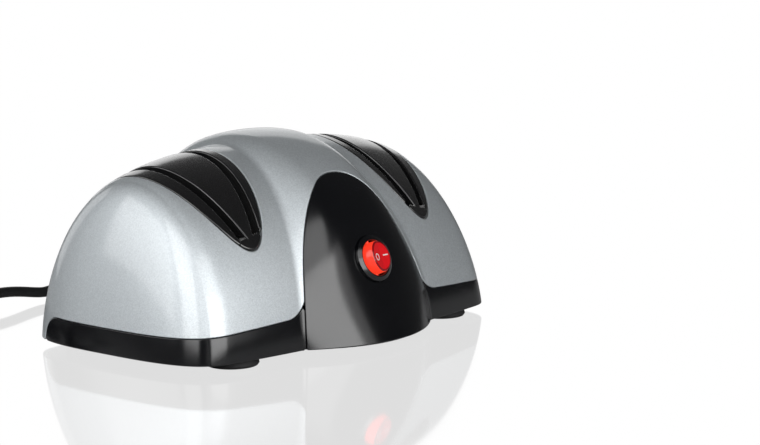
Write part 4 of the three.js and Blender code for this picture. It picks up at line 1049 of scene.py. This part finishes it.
floorAxes = moved(standing, z=body["footHeight"] + floorSizes["thickness"] / 2)
b = postSizes
holes = [circle(b["hole"], x * b["x"], y * b["y"], 32) for x, y in corners.values()]
floorPlate = extruded([floorOutline(), *holes], floorSizes["thickness"], floorSizes["bevel"], floorAxes)
postProfile = [(b["hole"], 1), (b["radius"], 1), (b["radius"], b["seat"], 0.4), (b["hole"], b["seat"])]
posts = [
    turned(postProfile, moved(standing, x * b["x"], y * b["y"], body["footHeight"]), 40)
    for x, y in corners.values()
]
finePiece("trayFloor", joined(floorPlate, *posts), "blackPlastic", "housing")
print("feet and tray are built")


# The free cord: out of the relief, along the floor, into a two-layer coil with the plug

cordSizes = {"radius": 2.75, "entryY": 81.59, "entryZ": 15, "sides": 20}
cordWay = [
    (0, 113.79, 15),
    (0, 116.79, 15),
    (-0.9, 123.29, 14.4),
    (-3.4, 129.29, 12.8),
    (-7.3, 134.49, 10.3),
    (-12.5, 138.49, 7.7),
    (-18.5, 140.99, 5.6),
    (-25, 141.79, 4.6),
    (-31, 142.49, 5.2),
    (-37.4, 143.29, 6.3),
    (-44.4, 143.29, 7.4),
    (-51.3, 143.09, 8.1),
    (-58.6, 142.59, 8.4),
    (-66, 142.89, 8.2),
    (-73.5, 145.59, 7.3),
    (-80.6, 150.99, 5.7),
    (-86, 156.19, 4.3),
    (-90.4, 160.59, 3.85),
]
# low and high are the heights of the two layers; start and tie are directions from the middle, in degrees
coil = {
    "x": -121.7,
    "y": 137.49,
    "outer": 38.4,
    "pitch": 6.1,
    "turns": 5.375,
    "climb": 0.5,
    "start": 45,
    "low": 3.85,
    "high": 9.95,
    "tail": 28,
    "tailShares": (0.15, 0.3, 0.45, 0.6, 0.75, 0.88, 1),
    "tailRise": (0.3, 0.8),
    "tie": 300,
}
plugSizes = {
    "length": 34,
    "axis": 6.8,  # its height over the floor
    "rings": (  # depth, half width and half thickness
        (8.2, 3.6, 3.5),
        (9.2, 6.5, 4.6),
        (11.5, 9.4, 5.8),
        (15, 11.2, 6.5),
        (20, 12.1, 6.8),
        (26, 12.7, 6.8),
        (32.6, 13, 6.8),
        (33.6, 12.8, 6.6),
        (34, 12.2, 6.1),
    ),
    "around": 48,
    "squareness": 0.6,
    "sleeve": 9,
    "sleeveRadius": 4.4,
    "tip": 3.4,
    "pin": 2,
    "pinLength": 19,
    "pitch": 18.6,
    "pinGap": 0.15,
    "cordGap": 0.3,
}


def smooth(value, low, high):
    share = min(max((value - low) / (high - low), 0), 1)
    return share * share * (3 - 2 * share)


# Inwards on the floor, halfway up to the second layer, outwards again, and straight to the plug
def coilWay(stepsPerTurn=36):
    count = round(coil["turns"] * stepsPerTurn)
    climbStart = (coil["turns"] - coil["climb"]) / 2
    points = []
    for i in range(count + 1):
        turns = coil["turns"] * i / count
        inward = min(turns, coil["turns"] - turns)
        climbed = smooth(turns, climbStart, climbStart + coil["climb"])
        z = coil["low"] + (coil["high"] - coil["low"]) * climbed
        radius = coil["outer"] - coil["pitch"] * inward
        angle = math.radians(coil["start"]) + fullTurn * turns
        points.append((coil["x"] + radius * math.cos(angle), coil["y"] + radius * math.sin(angle), z))
    x, y, z = points[-1]
    for share in coil["tailShares"]:
        rise = (plugSizes["axis"] - z) * smooth(share, *coil["tailRise"])
        points.append((x, y - share * coil["tail"], z + rise))
    return points


# Catmull-Rom points between the listed ones
def softened(way, steps):
    points = np.array(way, float)
    ends = np.concatenate([[2 * points[0] - points[1]], points, [2 * points[-1] - points[-2]]])
    done = []
    for k in range(1, len(ends) - 2):
        a, b, c, d = ends[k - 1 : k + 3]
        for step in range(steps):
            t = step / steps
            done.append(b + 0.5 * t * (c - a + t * (2 * a - 5 * b + 4 * c - d + t * (3 * (b - c) + d - a))))
    return np.array([*done, points[-1]])


def tube(way, radius, sides):
    way = np.array(way, float)
    tangents = np.gradient(way, axis=0)
    tangents /= np.linalg.norm(tangents, axis=1, keepdims=True)
    sideways = np.cross(tangents, [0, 0, 1.0])
    sideways /= np.linalg.norm(sideways, axis=1, keepdims=True)
    upward = np.cross(sideways, tangents)
    angles = np.arange(sides) * fullTurn / sides
    rings = way[:, None] + radius * (
        np.cos(angles)[None, :, None] * sideways[:, None]
        + np.sin(angles)[None, :, None] * upward[:, None]
    )
    points = np.concatenate([rings.reshape(-1, 3), way[[0, -1]]])
    faces = []
    last = (len(way) - 1) * sides
    for j in range(sides):
        n = (j + 1) % sides
        for start in range(0, last, sides):
            faces.append([start + j, start + sides + j, start + sides + n, start + n])
        faces += [[len(points) - 2, j, n], [len(points) - 1, last + n, last + j]]
    return points, faces


turnsWay = coilWay()
layWay = softened([*cordWay, turnsWay[0]], 2)[:-1]
wholeWay = [*layWay, *turnsWay]
lead = tube(wholeWay, cordSizes["radius"], cordSizes["sides"])
cordPiece = finePiece("mainsLead", lead, "cordSheath", "housing", ["mains_cord", "cord_coil"])

# Strain relief: a flange behind the wall, then a grooved sleeve that tapers towards its tip
reliefSizes = {
    "flange": 6.4,
    "flangeStart": -4.75,
    "flangeEnd": -2.75,
    "radius": 4.6,
    "tip": 3.6,
    "length": 32,
    "collar": 1.2,
    "taperStart": 12,
    "grooves": 7,
    "grooveStart": 3,
    "groovePitch": 3.6,
    "grooveDepth": 0.75,
    "grooveFloor": (0.35, 1.25),
    "grooveEnd": 1.6,
}
q = reliefSizes
reliefProfile = [
    (0, q["flangeStart"]),
    (q["flange"], q["flangeStart"], 0.3),
    (q["flange"], q["flangeEnd"], 0.3),
    (q["radius"], q["flangeEnd"]),
    (q["radius"], q["collar"]),
]
for k in range(q["grooves"]):
    at = q["grooveStart"] + q["groovePitch"] * k
    taper = max(0, (at - q["taperStart"]) / (q["length"] - q["taperStart"]))
    radius = q["radius"] - (q["radius"] - q["tip"]) * taper
    floorRadius = radius - q["grooveDepth"]
    floorStart, floorEnd = (at + share for share in q["grooveFloor"])
    reliefProfile += [(radius, at, 0.25), (floorRadius, floorStart, 0.2)]
    reliefProfile += [(floorRadius, floorEnd, 0.2), (radius, at + q["grooveEnd"], 0.25)]
reliefProfile += [(q["tip"], q["length"], 0.6), (0, q["length"])]
reliefAxes = frameOf((0, 0, 1), (1, 0, 0), (0, 1, 0), (0, cordSizes["entryY"], cordSizes["entryZ"]))
relief = finePiece(
    "strainRelief", turned(reliefProfile, reliefAxes, 48), "rubber", "housing", ["strain_relief"]
)

# Plug: rounded rectangles from the sleeve to the face with the pins
g = plugSizes
plugAxes = frameOf((-1, 0, 0), (0, 0, 1), (0, -1, 0), np.array(turnsWay[-1]) - np.array([0, g["cordGap"], 0]))
plugPoints, plugFaces = [], []
around = g["around"]
for depth, wide, thick in g["rings"]:
    for k in range(around):
        turn = fullTurn * k / around
        across, up = math.cos(turn), math.sin(turn)
        x = math.copysign(wide * abs(across) ** g["squareness"], across)
        y = math.copysign(thick * abs(up) ** g["squareness"], up)
        plugPoints.append((x, y, depth))
lastRing = (len(g["rings"]) - 1) * around
for start in range(0, lastRing, around):
    for j in range(around):
        n = (j + 1) % around
        plugFaces.append([start + j, start + n, start + around + n, start + around + j])
plugFaces.append(list(range(around))[::-1])
plugFaces.append([lastRing + j for j in range(around)])
sleeveProfile = [(0, 0), (g["tip"], 0, 0.4), (g["sleeveRadius"], g["sleeve"]), (0, g["sleeve"])]
plugShape = joined((placed(plugPoints, plugAxes), plugFaces), turned(sleeveProfile, plugAxes, 40))
plugBody = finePiece("plugBody", plugShape, "cordSheath", "housing", ["plug_body"], 40)
plugPinProfile = [(0, 0), (g["pin"], 0), (g["pin"], g["pinLength"], 0.9), (0, g["pinLength"])]
for side, sign in (("Left", -1), ("Right", 1)):
    pinSeat = moved(plugAxes, -sign * g["pitch"] / 2, 0, g["length"] + g["pinGap"])
    pinShape = turned(plugPinProfile, pinSeat, 32)
    finePiece("plugPin" + side, pinShape, "steel", "housing", ["plug_pin_" + side.lower()])

# Tie: a loop round the strands that it crosses
tieSizes = {"sideRoom": 3.35, "topRoom": 2.9, "wall": 0.8, "corner": 1.2, "width": 6, "bevel": 0.15}
t = tieSizes
outwardTurn = math.radians(coil["tie"])
outward = np.array([math.cos(outwardTurn), math.sin(outwardTurn), 0])
aside = np.array([-outward[1], outward[0], 0])
fromCentre = np.array(turnsWay) - np.array([coil["x"], coil["y"], 0])
crossing = fromCentre[(fromCentre @ outward > 0) & (np.abs(fromCentre @ aside) < coil["pitch"])] @ outward
near, far = crossing.min() - t["sideRoom"], crossing.max() + t["sideRoom"]
low, high = coil["low"] - t["topRoom"], coil["high"] + t["topRoom"]
tieAxes = frameOf(outward, (0, 0, 1), (outward[1], -outward[0], 0), (coil["x"], coil["y"], 0))
wide, tall, centre = (far - near) / 2, (high - low) / 2, ((near + far) / 2, (low + high) / 2)
tieOutlines = [rectangle(wide + out, tall + out, t["corner"] + out, *centre) for out in (t["wall"], 0)]
tieShape = extruded(tieOutlines, t["width"], t["bevel"], tieAxes)
tie = finePiece("cordTie", tieShape, "rubber", "housing", ["cord_tie"])


# Finishes of the parts shown as they are

inner = {
    "zinc": "motor_can motor_bell_left motor_bell_right motor_strap_left motor_strap_right "
    "strap_screw_left_front strap_screw_left_rear strap_screw_right_front strap_screw_right_rear "
    "board_screw_left board_screw_right clamp_screw_left clamp_screw_right "
    "base_screw_front_left base_screw_front_right base_screw_rear_left base_screw_rear_right",
    "steel": "shaft wheel_nut_left wheel_nut_right",
    "coreIron": "armature_core",
    "copper": "armature_winding commutator",
    "brass": "bearing_left bearing_right switch_terminal_left switch_terminal_right",
    "ferrite": "magnet_front magnet_rear",
    "carbon": "brush_upper brush_lower",
    "coarseGrit": "coarse_wheel",
    "fineGrit": "fine_wheel",
    "nylon": "wheel_hub_left wheel_hub_right",
    "board": "circuit_board",
    "sleeve": "capacitor",
    "blackPlastic": "rectifier cord_clamp",
    "cordSheath": "cord_tail lead_supply lead_switch",
}
for finishName, nodeNames in inner.items():
    for nodeName in nodeNames.split():
        dress(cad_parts[nodeName], finishName)
print("inner parts are finished")
